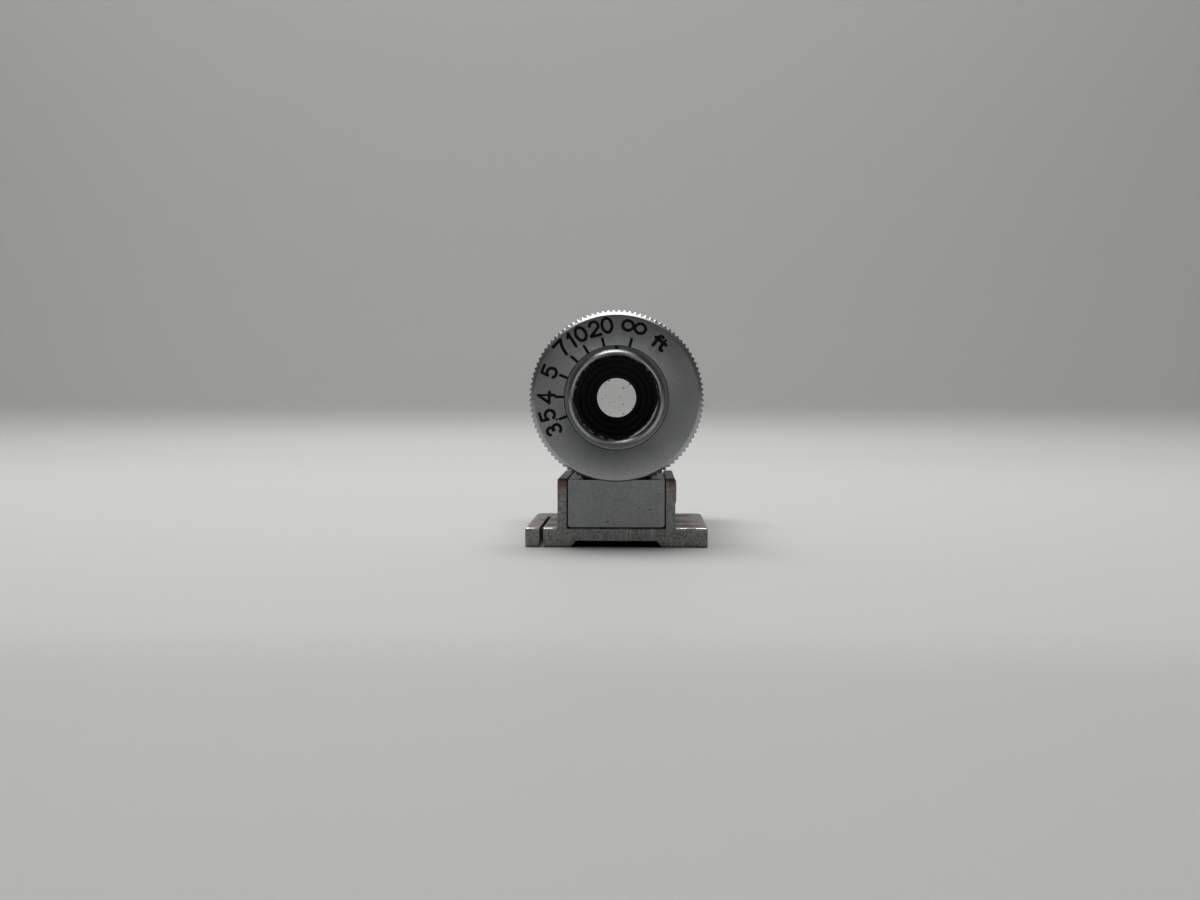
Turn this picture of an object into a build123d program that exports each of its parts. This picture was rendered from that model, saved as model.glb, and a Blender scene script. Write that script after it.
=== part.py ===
"""Accessory-shoe viewfinder with a parallax dial: a small chromed telescope on a shoe foot.

Turning the knurled dial at the eye end moves a snail cam. The cam presses a follower pin down
through the tilting block onto the floor of the foot's channel, so the eye end rises and the line
of sight dips towards a near subject. A spring round the hold-down screw brings it back.

Frame, in millimetres: +Y is the way one looks through the finder, +X right, +Z up. The origin is
the centre of the foot's underside. The dial rests between its infinity and 20 ft marks.
"""

from build123d import *
from math import asin, cos, degrees, radians, sin, tan
import os

# ---- shoe foot and its channel -------------------------------------------------------------
foot_width = 18.6
foot_length = 18.0
foot_thickness = 1.95
foot_edge_radius = 0.12
foot_corner_radius = 1.0
relief_width = 8.45
relief_flare = 0.57
relief_depth = 0.8
slit_width = 0.42
slit_length = 13.5
ear_thickness = 1.0
ear_rise = 0.12
ear_front_radius = 2.2
ear_rear_radius = 0.35
ear_edge_radius = 0.2

# ---- tilting block -------------------------------------------------------------------------
block_width = 9.8
block_height = 4.8
block_edge_radius = 0.3
block_side_gap = 0.1
block_floor_gap = 0.1
block_front_inset = 0.3
saddle_width = 7.2
saddle_rise = 0.35
block_wall = 0.45

# ---- dial, cam and the travel between the infinity and 3.5 ft marks --------------------------
dial_tip_radius = 8.9
knurl_depth = 0.2
knurl_teeth = 100
knurl_width = 3.0
knurl_rear_chamfer = 0.38
knurl_front_chamfer = 0.12
face_step = 0.4
face_chamfer = 0.14
face_lip = 0.6
face_overhang = 0.25
dial_back_turn = 14.6
dial_forward_turn = 110.6
full_tilt = 3.0
cam_thickness = 2.2
cam_room = 0.5
cam_end_dwell = 8.0
cam_screw_spacing = 85.0
cam_screw_radius = 0.4
cam_screw_head_radius = 0.6
cam_screw_head_height = 0.45
cam_screw_grip = 1.2
stop_pin_radius = 0.35
stop_pin_reach = 0.65
stop_track_depth = 0.75
follower_radius = 0.7

# ---- barrel with its neck --------------------------------------------------------------------
barrel_radius = 8.0
barrel_wall = 1.2
barrel_length = 24.0
skirt_wall = 0.55
web_thickness = 1.0
neck_radius = 4.9
neck_wall = 0.6
neck_proud = 0.5
neck_outer_bevel = 0.3
neck_inner_bevel = 0.26
spigot_wall = 0.6
spigot_length = 4.0

# ---- eye end: collar, washer, funnel and lens --------------------------------------------------
collar_width = 0.36
collar_thickness = 0.38
collar_depth = 0.25
collar_pocket_depth = 0.8
index_dot_radius = 0.165
index_dot_depth = 0.1
washer_thickness = 0.08
funnel_inset = 0.35
funnel_length = 2.1
funnel_mouth_ledge = 0.5
funnel_back_land = 0.6
funnel_steps = 3
funnel_undercut = 0.12
eye_hole_radius = 2.0
eye_lens_ledge = 0.7
eye_lens_edge = 1.5
eye_lens_land = 0.5
eye_lens_curve = 33.0

# ---- front end: bell, mask, objective and its ring ----------------------------------------------
bell_flare = 1.3
bell_length = 11.6
bell_straight = 1.7
bell_cone_length = 2.4
bell_cone_radius = 2.0
bell_rim_chamfer = 0.35
bell_groove_width = 0.4
bell_groove_depth = 0.15
bell_groove_from_rim = 1.3
bell_shoulder = 0.6
bell_seat_wall = 1.25
bell_mouth_step = 0.4
mask_thickness = 0.4
mask_opening_width = 11.2
mask_opening_height = 7.6
mask_corner_radius = 0.4
objective_edge = 1.6
objective_curve = 46.0
ring_thickness = 1.25
ring_width = 0.95
ring_bevel = 0.3
ring_notch_width = 0.8
ring_notch_depth = 0.5
set_screw_radius = 0.5
set_screw_count = 3

# ---- baffle tube -----------------------------------------------------------------------------
baffle_wall = 0.55
baffle_ridge_pitch = 1.1
baffle_ridge_depth = 0.28
baffle_crest = 0.1

# ---- pivot, hold-down and block screws -----------------------------------------------------------
pivot_y = 2.6
pivot_height = 2.85
pivot_radius = 0.78
pivot_reach = 1.6
pivot_head_radius = 1.3
pivot_head_height = 0.35
hold_down_radius = 0.78
hold_down_head_radius = 1.4
hold_down_head_height = 0.75
hold_down_head_room = 0.3
hold_down_pocket_floor = 1.25
hold_down_swing = 0.27
spring_wire = 0.3
spring_turns = 3.5
block_screw_radius = 0.7
block_screw_head_radius = 1.1
block_screw_head_height = 0.55
block_screw_pocket_depth = 0.9
block_screw_bite = 1.0
slot_width = 0.3
slot_depth = 0.25

# ---- clearances --------------------------------------------------------------------------------
thread_gap = 0.02
running_gap = 0.05
seat_gap = 0.02
part_gap = 0.1
cut_margin = 1.0

# ---- heights and stations that follow ------------------------------------------------------------
foot_rear = -foot_length / 2
foot_front = foot_length / 2
channel_half = block_width / 2 + block_side_gap
ear_outer = channel_half + ear_thickness
block_bottom = foot_thickness + block_floor_gap
block_top = block_bottom + block_height
block_front = foot_front - block_front_inset
ear_top = block_top + ear_rise
axis_z = block_top + saddle_rise + barrel_radius

dial_rear = foot_rear - face_overhang
knurl_rear = dial_rear + face_lip
dial_front = knurl_rear + knurl_width
cam_front = dial_front + cam_thickness
web_rear = cam_front + running_gap
web_front = web_rear + web_thickness
neck_rear = dial_rear - neck_proud
barrel_rear = dial_front + part_gap
barrel_front = barrel_rear + barrel_length
bell_rear = barrel_front - spigot_length
bell_front = bell_rear + bell_length

face_radius = dial_tip_radius - face_step
bore_radius = barrel_radius - barrel_wall
skirt_bore = barrel_radius - skirt_wall
spigot_radius = barrel_radius - spigot_wall
bell_radius = barrel_radius + bell_flare
objective_radius = bell_radius - bell_seat_wall - running_gap
mask_radius = spigot_radius - running_gap
funnel_radius = neck_radius - neck_wall - thread_gap
eye_lens_radius = funnel_radius - eye_lens_ledge
neck_bore_radius = eye_lens_radius - eye_lens_land

pivot_z = block_bottom + pivot_height
follower_y = dial_front + cam_thickness / 2
follower_hole = follower_radius + running_gap
hold_down_pocket_radius = hold_down_head_radius + 2 * part_gap
hold_down_y = follower_y + follower_hole + block_wall + hold_down_pocket_radius
hold_down_seat = block_bottom + hold_down_pocket_floor
spring_length = block_height - hold_down_pocket_floor - hold_down_head_height - hold_down_head_room
block_screw_hole = block_screw_radius + thread_gap
block_screw_pocket_radius = block_screw_head_radius + part_gap
rear_block_screw_y = hold_down_y + hold_down_pocket_radius + block_wall + block_screw_hole
front_block_screw_y = block_front - block_wall - block_screw_pocket_radius
block_screw_seat = block_bottom + block_screw_pocket_depth

dial_travel = dial_back_turn + dial_forward_turn
follower_lever = pivot_y - follower_y
cam_rise_per_degree = follower_lever * tan(radians(full_tilt)) / dial_travel
cam_high_radius = skirt_bore - cam_room
cam_radius = cam_high_radius - cam_rise_per_degree * (dial_forward_turn + cam_end_dwell)
cam_low_radius = cam_radius - cam_rise_per_degree * (dial_back_turn + cam_end_dwell)
dial_bore_radius = neck_radius + running_gap
stop_track_radius = (dial_bore_radius + cam_low_radius) / 2
stop_track_middle = (dial_back_turn - dial_forward_turn) / 2

collar_rear = dial_rear + collar_depth
collar_radius = neck_radius + thread_gap + collar_width
pocket_floor = dial_rear + collar_pocket_depth
funnel_rear = neck_rear + funnel_inset
funnel_front = funnel_rear + funnel_length
eye_lens_rear = funnel_front + seat_gap
eye_lens_front = eye_lens_rear + eye_lens_edge
mask_rear = barrel_front + seat_gap
shoulder_rear = mask_rear + mask_thickness + seat_gap
objective_rear = shoulder_rear + bell_shoulder
ring_rear = objective_rear + objective_edge + seat_gap
ring_front = ring_rear + ring_thickness
set_screw_y = bell_rear + seat_gap + bell_straight / 2

optical_axis = Axis((0, 0, axis_z), (0, 1, 0))


# ---- shared shapes -------------------------------------------------------------------------------
def turned(outline):
    """A solid turned about the optical axis from (y, radius) points."""
    corners = [(0, y, axis_z + radius) for y, radius in outline]
    return revolve(make_face(Polyline(*corners, close=True)), optical_axis, 360)


def rod(rear, front, radius, x=0.0, z=0.0):
    """A cylinder along Y, placed by its offset from the optical axis."""
    length = front - rear
    return Pos(x, rear + length / 2, axis_z + z) * Rot(90, 0, 0) * Cylinder(radius, length)


def post(low, high, radius, y):
    """A vertical cylinder on the centre plane."""
    return Pos(0, y, (low + high) / 2) * Cylinder(radius, high - low)


def pivot_bar(side, inner, outer, radius):
    """A cylinder on the pivot's axis, on one side of the centre plane."""
    middle = Pos(side * (inner + outer) / 2, pivot_y, pivot_z)
    return middle * Rot(0, 90, 0) * Cylinder(radius, outer - inner)


def around(angle, radius):
    """Offset (x, z) from the optical axis, turned clockwise from the top as the eye sees it."""
    return radius * sin(radians(angle)), radius * cos(radians(angle))


def dial_pockets():
    """Room for the dial: its face lip, and behind a thin wall its knurled rim."""
    lip_room = rod(foot_rear - cut_margin, knurl_rear, face_radius + running_gap)
    rim_room = rod(knurl_rear - running_gap, barrel_rear, dial_tip_radius + part_gap)
    return lip_room + rim_room


# ---- foot ----------------------------------------------------------------------------------------
def shoe_bracket():
    """Foot plate and the two ears of its channel, in one piece, with a sprung lip at the left."""
    plate = Pos(0, 0, foot_thickness / 2) * Box(foot_width, foot_length, foot_thickness)
    uprights = plate.edges().filter_by(Axis.Z).sort_by(Axis.Y)
    plate = fillet(uprights[2:], foot_corner_radius)
    plate = fillet(plate.edges().group_by(Axis.Z)[0], foot_edge_radius)
    plate = fillet(plate.edges().group_by(Axis.Z)[-1], foot_edge_radius)

    ear_height = ear_top - foot_thickness / 2
    bracket = plate
    for side in (-1, 1):
        middle = Pos(side * (channel_half + ear_outer) / 2, 0, ear_top - ear_height / 2)
        ear = middle * Box(ear_thickness, foot_length, ear_height)
        across = ear.edges().filter_by(Axis.X).group_by(Axis.Z)[-1].sort_by(Axis.Y)
        ear = fillet(across[0], ear_rear_radius)
        across = ear.edges().filter_by(Axis.X).group_by(Axis.Z)[-1].sort_by(Axis.Y)
        ear = fillet(across[-1], ear_front_radius)
        along = ear.edges().filter_by(Axis.Y).group_by(Axis.Z)[-1].sort_by(Axis.X)
        ear = fillet(along[-1] if side > 0 else along[0], ear_edge_radius)
        hole = pivot_bar(side, channel_half - cut_margin, ear_outer + cut_margin, pivot_radius + thread_gap)
        bracket += ear - hole

    relief = [
        (-relief_width / 2 - relief_flare, 0),
        (-relief_width / 2, relief_depth),
        (relief_width / 2, relief_depth),
        (relief_width / 2 + relief_flare, 0),
    ]
    groove = make_face(Plane.XZ * Polyline(*relief, close=True))
    groove = extrude(groove, foot_length / 2 + cut_margin, both=True)
    slit_x = -(foot_width / 2 + ear_outer) / 2
    slit = Pos(slit_x, foot_rear + (slit_length - cut_margin) / 2, foot_thickness / 2)
    slit *= Box(slit_width, slit_length + cut_margin, foot_thickness + cut_margin)
    screw_hole = post(-cut_margin, foot_thickness + cut_margin, hold_down_radius + thread_gap, hold_down_y)
    return bracket - groove - slit - screw_hole - dial_pockets()


def pivot_screws():
    """A slotted shoulder screw in each ear; its plain tip carries the block."""
    screws = []
    tip = block_width / 2 - pivot_reach
    for side in (-1, 1):
        head = pivot_bar(side, ear_outer, ear_outer + pivot_head_height, pivot_head_radius)
        rims = head.edges().group_by(Axis.X)
        head = chamfer(rims[-1] if side > 0 else rims[0], pivot_head_height * 0.4)
        slot = Pos(side * (ear_outer + pivot_head_height), pivot_y, pivot_z)
        slot *= Box(pivot_head_height, slot_width, 3 * pivot_head_radius)
        screws.append(pivot_bar(side, tip, ear_outer, pivot_radius) + head - slot)
    return Compound(children=screws)


def hold_down_screw():
    """Screw from the block's pocket down into the channel floor."""
    under_head = hold_down_seat + spring_length
    shank = post(relief_depth, under_head, hold_down_radius, hold_down_y)
    head = post(under_head, under_head + hold_down_head_height, hold_down_head_radius, hold_down_y)
    slot = Pos(0, hold_down_y, under_head + hold_down_head_height)
    slot *= Box(3 * hold_down_head_radius, slot_width, 2 * slot_depth)
    return shank + head - slot


def hold_down_spring():
    """Open coil between the pocket's floor and the screw's head."""
    mean_radius = hold_down_pocket_radius - part_gap - spring_wire / 2
    rise = spring_length - spring_wire - 2 * seat_gap
    path = Helix(rise / spring_turns, rise, mean_radius)
    wire = sweep(Plane(path @ 0, z_dir=path % 0) * Circle(spring_wire / 2), path, is_frenet=True)
    return Pos(0, hold_down_y, hold_down_seat + seat_gap + spring_wire / 2) * wire


# ---- tilting block ---------------------------------------------------------------------------------
def tilt_block():
    """Block between the ears, with a saddle on top that the barrel sits in."""
    middle_y = (block_front + foot_rear) / 2
    body = Pos(0, middle_y, (block_bottom + block_top) / 2)
    body *= Box(block_width, block_front - foot_rear, block_height)
    body = fillet(body.edges().filter_by(Axis.Y).group_by(Axis.Z)[0], block_edge_radius)

    seat_radius = barrel_radius + seat_gap / 2
    saddle_top = axis_z - (seat_radius**2 - (saddle_width / 2) ** 2) ** 0.5
    saddle = Pos(0, (barrel_rear + block_front) / 2, (block_top + saddle_top) / 2)
    saddle *= Box(saddle_width, block_front - barrel_rear, saddle_top - block_top)
    body += saddle
    body -= rod(barrel_rear - cut_margin, block_front + cut_margin, seat_radius)
    body -= dial_pockets()

    # the underside ahead of the pivot is cut away so that the front can dip
    slope = tan(radians(full_tilt))
    wedge_front = block_front + cut_margin
    wedge = [
        (pivot_y, block_bottom - cut_margin),
        (pivot_y, block_bottom),
        (wedge_front, block_bottom + slope * (wedge_front - pivot_y)),
        (wedge_front, block_bottom - cut_margin),
    ]
    wedge = make_face(Plane.YZ * Polyline(*wedge, close=True))
    body -= extrude(wedge, block_width, both=True)

    below = block_bottom - cut_margin
    above = saddle_top + cut_margin
    body -= post(below, above, follower_hole, follower_y)
    body -= post(below, above, hold_down_radius + hold_down_swing, hold_down_y)
    body -= post(hold_down_seat, above, hold_down_pocket_radius, hold_down_y)
    for y in (rear_block_screw_y, front_block_screw_y):
        body -= post(below, above, block_screw_hole, y)
        body -= post(below, block_screw_seat, block_screw_pocket_radius, y)
    hole_end = block_width / 2 - pivot_reach - part_gap
    for side in (-1, 1):
        body -= pivot_bar(side, hole_end, ear_outer, pivot_radius + running_gap)
    return body


def block_screws():
    """Two screws up through the block into the barrel's wall."""
    screws = []
    head_bottom = block_screw_seat - block_screw_head_height
    tip = axis_z - barrel_radius + block_screw_bite
    for y in (rear_block_screw_y, front_block_screw_y):
        head = post(head_bottom, block_screw_seat, block_screw_head_radius, y)
        slot = Pos(0, y, head_bottom) * Box(3 * block_screw_head_radius, slot_width, 2 * slot_depth)
        screws.append(post(block_screw_seat, tip, block_screw_radius, y) + head - slot)
    return Compound(children=screws)


# ---- dial ------------------------------------------------------------------------------------------
def parallax_dial():
    """Knurled ring with the scale on its rear face."""
    root_radius = dial_tip_radius - knurl_depth
    corners = []
    for tooth in range(knurl_teeth):
        for step, radius in ((0.0, root_radius), (0.5, dial_tip_radius)):
            x, z = around(360 * (tooth + step) / knurl_teeth, radius)
            corners.append((x, knurl_rear, axis_z + z))
    teeth = extrude(make_face(Polyline(*corners, close=True)), knurl_width, dir=(0, 1, 0))
    teeth &= turned([
        (knurl_rear, 0),
        (knurl_rear, dial_tip_radius - knurl_rear_chamfer),
        (knurl_rear + knurl_rear_chamfer, dial_tip_radius),
        (dial_front - knurl_front_chamfer, dial_tip_radius),
        (dial_front, dial_tip_radius - knurl_front_chamfer),
        (dial_front, 0),
    ])
    lip = turned([
        (dial_rear, 0),
        (dial_rear, face_radius - face_chamfer),
        (dial_rear + face_chamfer, face_radius),
        (knurl_rear, face_radius),
        (knurl_rear, 0),
    ])
    dial = teeth + lip
    dial -= rod(dial_rear - cut_margin, dial_front + cut_margin, dial_bore_radius)
    dial -= rod(dial_rear - cut_margin, pocket_floor, collar_radius + running_gap)
    hole_radius = cam_screw_radius + thread_gap
    for x, z in cam_screw_places():
        dial -= rod(dial_front - cam_screw_grip, dial_front + cut_margin, hole_radius, x, z)
    return dial


def cam_screw_places():
    """Offsets of the cam's screws, spread over the arc that the stop track leaves free."""
    middle = stop_track_middle + 180
    turns = (-cam_screw_spacing, 0, cam_screw_spacing)
    return [around(middle + turn, stop_track_radius) for turn in turns]


def parallax_cam():
    """Snail cam on the dial's front, with the arc groove that the stop pin runs in."""
    turn_low = -dial_back_turn - cam_end_dwell
    turn_high = dial_forward_turn + cam_end_dwell
    lobe_points = 9
    lobe = []
    for step in range(lobe_points):
        turn = turn_low + (turn_high - turn_low) * step / (lobe_points - 1)
        x, z = around(180 - turn, cam_radius + cam_rise_per_degree * turn)
        lobe.append((x, dial_front, axis_z + z))
    step_x, step_z = around(180 - turn_high, cam_low_radius)
    rest_x, rest_z = around(-(turn_high + turn_low) / 2, cam_low_radius)
    step_foot = (step_x, dial_front, axis_z + step_z)
    outline = Spline(*lobe) + Line(lobe[-1], step_foot)
    outline += ThreePointArc(step_foot, (rest_x, dial_front, axis_z + rest_z), lobe[0])
    cam = extrude(make_face(outline), cam_thickness, dir=(0, 1, 0))
    cam -= rod(dial_front - cut_margin, cam_front + cut_margin, dial_bore_radius)

    track_half = stop_pin_radius + running_gap
    track_rear = cam_front - stop_track_depth
    span = dial_travel + degrees(asin(track_half / stop_track_radius)) / 2
    reach = 3 * cam_radius
    fan = [(0.0, 0.0)]
    fan += [around(stop_track_middle + span * part / 4, reach) for part in (-2, -1, 0, 1, 2)]
    fan = make_face(Polyline(*[(x, track_rear, axis_z + z) for x, z in fan], close=True))
    track = rod(track_rear, cam_front + cut_margin, stop_track_radius + track_half)
    track -= rod(track_rear, cam_front + cut_margin, stop_track_radius - track_half)
    track &= extrude(fan, stop_track_depth + cut_margin, dir=(0, 1, 0))
    for end in (-1, 1):
        x, z = around(stop_track_middle + end * span / 2, stop_track_radius)
        track += rod(track_rear, cam_front + cut_margin, track_half, x, z)
    cam -= track

    for x, z in cam_screw_places():
        cam -= rod(dial_front - cut_margin, cam_front + cut_margin, cam_screw_radius + thread_gap, x, z)
        seat = cam_front - cam_screw_head_height
        cam -= rod(seat, cam_front + cut_margin, cam_screw_head_radius + thread_gap, x, z)
    return cam


def cam_screws():
    """Three screws that hold the cam on the dial."""
    screws = []
    seat = cam_front - cam_screw_head_height
    for x, z in cam_screw_places():
        shank = rod(dial_front - cam_screw_grip + part_gap, seat, cam_screw_radius, x, z)
        head = rod(seat, cam_front - thread_gap, cam_screw_head_radius, x, z)
        slot = Box(3 * cam_screw_head_radius, 2 * slot_depth, slot_width / 2)
        slot = Pos(x, cam_front, axis_z + z) * slot
        screws.append(shank + head - slot)
    return Compound(children=screws)


def cam_follower():
    """Pin with domed ends that stands on the channel floor and carries the cam."""
    pin = post(foot_thickness + seat_gap, axis_z - cam_radius - seat_gap, follower_radius, follower_y)
    return fillet(pin.edges().filter_by(GeomType.CIRCLE), follower_radius * 0.6)


# ---- barrel ----------------------------------------------------------------------------------------
def barrel():
    """Tube with a web and a neck at the rear; the skirt behind the web covers the cam."""
    lens_seat = eye_lens_radius + running_gap
    mouth = funnel_radius + thread_gap
    body = turned([
        (neck_rear, mouth + neck_inner_bevel),
        (neck_rear, neck_radius - neck_outer_bevel),
        (neck_rear + neck_outer_bevel, neck_radius),
        (web_rear, neck_radius),
        (web_rear, skirt_bore),
        (barrel_rear, skirt_bore),
        (barrel_rear, barrel_radius),
        (bell_rear, barrel_radius),
        (bell_rear, spigot_radius),
        (barrel_front, spigot_radius),
        (barrel_front, bore_radius),
        (web_front, bore_radius),
        (web_front, neck_bore_radius),
        (eye_lens_front + seat_gap, neck_bore_radius),
        (eye_lens_front + seat_gap, lens_seat),
        (funnel_front, lens_seat),
        (funnel_front, mouth),
        (neck_rear + neck_inner_bevel, mouth),
    ])
    wall_foot = axis_z - barrel_radius - cut_margin
    body -= post(wall_foot, axis_z - cam_high_radius, follower_hole, follower_y)
    tip = axis_z - barrel_radius + block_screw_bite + seat_gap
    for y in (rear_block_screw_y, front_block_screw_y):
        body -= post(wall_foot, tip, block_screw_hole, y)
    pin_hole = stop_pin_radius + thread_gap
    body -= rod(web_rear - cut_margin, web_front + cut_margin, pin_hole, z=stop_track_radius)
    screw_hole = set_screw_radius + thread_gap
    for angle in set_screw_angles():
        body -= radial_bar(angle, bore_radius - part_gap, spigot_radius + part_gap, screw_hole)
    return body


def stop_pin():
    """Pin in the web that ends the dial's turn both ways."""
    return rod(web_rear - stop_pin_reach, web_front, stop_pin_radius, z=stop_track_radius)


def index_collar():
    """Threaded ring on the neck that holds the dial on and carries the index dot."""
    inner = neck_radius + thread_gap
    ring = rod(collar_rear, collar_rear + collar_thickness, collar_radius)
    ring -= rod(collar_rear - cut_margin, dial_front, inner)
    dot_height = inner + collar_width / 2
    dot_floor = collar_rear + index_dot_depth
    return ring - rod(collar_rear - cut_margin, dot_floor, index_dot_radius, z=dot_height)


def friction_washer():
    """Coned spring washer between the collar and the dial's pocket floor."""
    rear = collar_rear + collar_thickness + seat_gap
    front = pocket_floor - seat_gap
    inner = neck_radius + running_gap
    return turned([
        (rear, inner),
        (front - washer_thickness, collar_radius),
        (front, collar_radius),
        (rear + washer_thickness, inner),
    ])


def eyepiece_funnel():
    """Blackened stepped ring that narrows to the eye hole and holds the eye lens in."""
    first_radius = funnel_radius - funnel_mouth_ledge
    step_in = (first_radius - eye_hole_radius) / funnel_steps
    step_deep = (funnel_length - funnel_back_land) / funnel_steps
    outline = [(funnel_rear, funnel_radius), (funnel_rear, first_radius)]
    for step in range(funnel_steps):
        radius = first_radius - step_in * step
        station = funnel_rear + step_deep * (step + 1)
        outline += [(station, radius - funnel_undercut), (station, radius - step_in)]
    outline += [(funnel_front, eye_hole_radius), (funnel_front, funnel_radius)]
    return turned(outline)


def eye_lens():
    """Plano-concave lens, hollow towards the front, with a flat land at its edge."""
    hollow_radius = eye_lens_radius - eye_lens_land
    centre_y = eye_lens_front + (eye_lens_curve**2 - hollow_radius**2) ** 0.5
    blank = rod(eye_lens_rear, eye_lens_front, eye_lens_radius)
    return blank - Pos(0, centre_y, axis_z) * Sphere(eye_lens_curve)


# ---- front end -------------------------------------------------------------------------------------
def baffle_tube():
    """Blackened liner, ridged inside to swallow stray light."""
    rear = web_front + seat_gap
    front = barrel_front - seat_gap
    outer = bore_radius - running_gap
    inner = outer - baffle_wall
    ridges = int((front - rear) / baffle_ridge_pitch)
    pitch = (front - rear) / ridges
    outline = [(rear, outer), (front, outer)]
    for ridge in range(ridges):
        crest = front - pitch * ridge
        outline += [
            (crest, inner),
            (crest - baffle_crest, inner),
            (crest - pitch + baffle_crest, inner + baffle_ridge_depth),
            (crest - pitch + baffle_crest, inner),
        ]
    outline.append((rear, inner))
    return turned(outline)


def field_mask():
    """Blackened plate whose rectangular opening frames the view."""
    opening = Pos(0, mask_rear, axis_z)
    opening *= Box(mask_opening_width, 3 * mask_thickness, mask_opening_height)
    opening = fillet(opening.edges().filter_by(Axis.Y), mask_corner_radius)
    return rod(mask_rear, mask_rear + mask_thickness, mask_radius) - opening


def objective_lens():
    """Plano-convex lens, bulging towards the subject, with a flat land at its edge."""
    crown_radius = objective_radius - ring_width
    crown_rear = objective_rear + objective_edge
    sagitta = objective_curve - (objective_curve**2 - crown_radius**2) ** 0.5
    ball = Pos(0, crown_rear + sagitta - objective_curve, axis_z) * Sphere(objective_curve)
    crown = rod(objective_rear, crown_rear + sagitta + cut_margin, crown_radius) & ball
    return rod(objective_rear, crown_rear, objective_radius) + crown


def objective_ring():
    """Blackened threaded ring that holds the objective in, with two spanner notches."""
    inner = objective_radius - ring_width
    outer = objective_radius + running_gap - thread_gap
    ring = turned([
        (ring_rear, inner),
        (ring_rear, outer),
        (ring_front, outer),
        (ring_front, inner + ring_bevel),
        (ring_front - ring_bevel, inner),
    ])
    notch = Pos(0, ring_front, axis_z)
    notch *= Box(3 * objective_radius, 2 * ring_notch_depth, ring_notch_width)
    return ring - notch


def front_bell():
    """Flared hood screwed onto the barrel's spigot; it carries the mask and the objective."""
    rear = bell_rear + seat_gap
    spigot_fit = spigot_radius + thread_gap
    seat_radius = objective_radius + running_gap
    mouth_radius = seat_radius + bell_mouth_step
    cone_rear = rear + bell_straight
    groove_front = bell_front - bell_groove_from_rim
    body = turned([
        (rear, spigot_fit),
        (rear, barrel_radius),
        (cone_rear, barrel_radius),
        (cone_rear + bell_cone_length, bell_radius),
        (groove_front - bell_groove_width, bell_radius),
        (groove_front - bell_groove_width, bell_radius - bell_groove_depth),
        (groove_front, bell_radius - bell_groove_depth),
        (groove_front, bell_radius),
        (bell_front - bell_rim_chamfer, bell_radius),
        (bell_front, bell_radius - bell_rim_chamfer),
        (bell_front, mouth_radius),
        (ring_front + bell_mouth_step, mouth_radius),
        (ring_front, seat_radius),
        (objective_rear, seat_radius),
        (objective_rear, bore_radius),
        (shoulder_rear, bore_radius),
        (shoulder_rear, spigot_fit),
    ])
    rings = body.edges().filter_by(GeomType.CIRCLE)
    cone_foot = [ring for ring in rings if abs(ring.arc_center.Y - cone_rear) < seat_gap]
    cone_head = [ring for ring in rings if abs(ring.arc_center.Y - cone_rear - bell_cone_length) < seat_gap]
    body = fillet(cone_foot + cone_head, bell_cone_radius)
    screw_hole = set_screw_radius + thread_gap
    for angle in set_screw_angles():
        body -= radial_bar(angle, spigot_radius - part_gap, barrel_radius + cut_margin, screw_hole)
    return body


def set_screw_angles():
    """Angles of the bell's set screws; the first points straight down."""
    return [180 + 360 * number / set_screw_count for number in range(set_screw_count)]


def radial_bar(angle, inner, outer, radius):
    """A cylinder that points away from the optical axis at the set screws' station."""
    place = Pos(0, set_screw_y, axis_z) * Rot(0, angle, 0) * Pos(0, 0, (inner + outer) / 2)
    return place * Cylinder(radius, outer - inner)


def bell_set_screws():
    """Slotted grub screws that lock the bell on the spigot."""
    screws = []
    top = barrel_radius - part_gap
    for angle in set_screw_angles():
        slot = Pos(0, set_screw_y, axis_z) * Rot(0, angle, 0) * Pos(0, 0, top)
        slot *= Box(slot_width / 2, 3 * set_screw_radius, 2 * slot_depth)
        screws.append(radial_bar(angle, bore_radius + part_gap, top, set_screw_radius) - slot)
    return Compound(children=screws)


nodes = {
    "shoe_bracket": shoe_bracket,
    "pivot_screws": pivot_screws,
    "hold_down_screw": hold_down_screw,
    "hold_down_spring": hold_down_spring,
    "tilt_block": tilt_block,
    "block_screws": block_screws,
    "barrel": barrel,
    "stop_pin": stop_pin,
    "index_collar": index_collar,
    "friction_washer": friction_washer,
    "eyepiece_funnel": eyepiece_funnel,
    "eye_lens": eye_lens,
    "baffle_tube": baffle_tube,
    "field_mask": field_mask,
    "objective_lens": objective_lens,
    "objective_ring": objective_ring,
    "front_bell": front_bell,
    "bell_set_screws": bell_set_screws,
    "parallax_dial": parallax_dial,
    "parallax_cam": parallax_cam,
    "cam_screws": cam_screws,
    "cam_follower": cam_follower,
}

os.makedirs("parts", exist_ok=True)
for name, make in nodes.items():
    export_step(make(), f"parts/{name}.step")
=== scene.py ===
"""Shoe-mounted viewfinder with a parallax dial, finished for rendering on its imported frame."""
from math import atan2, cos, pi, radians, sin, sqrt, tan

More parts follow.
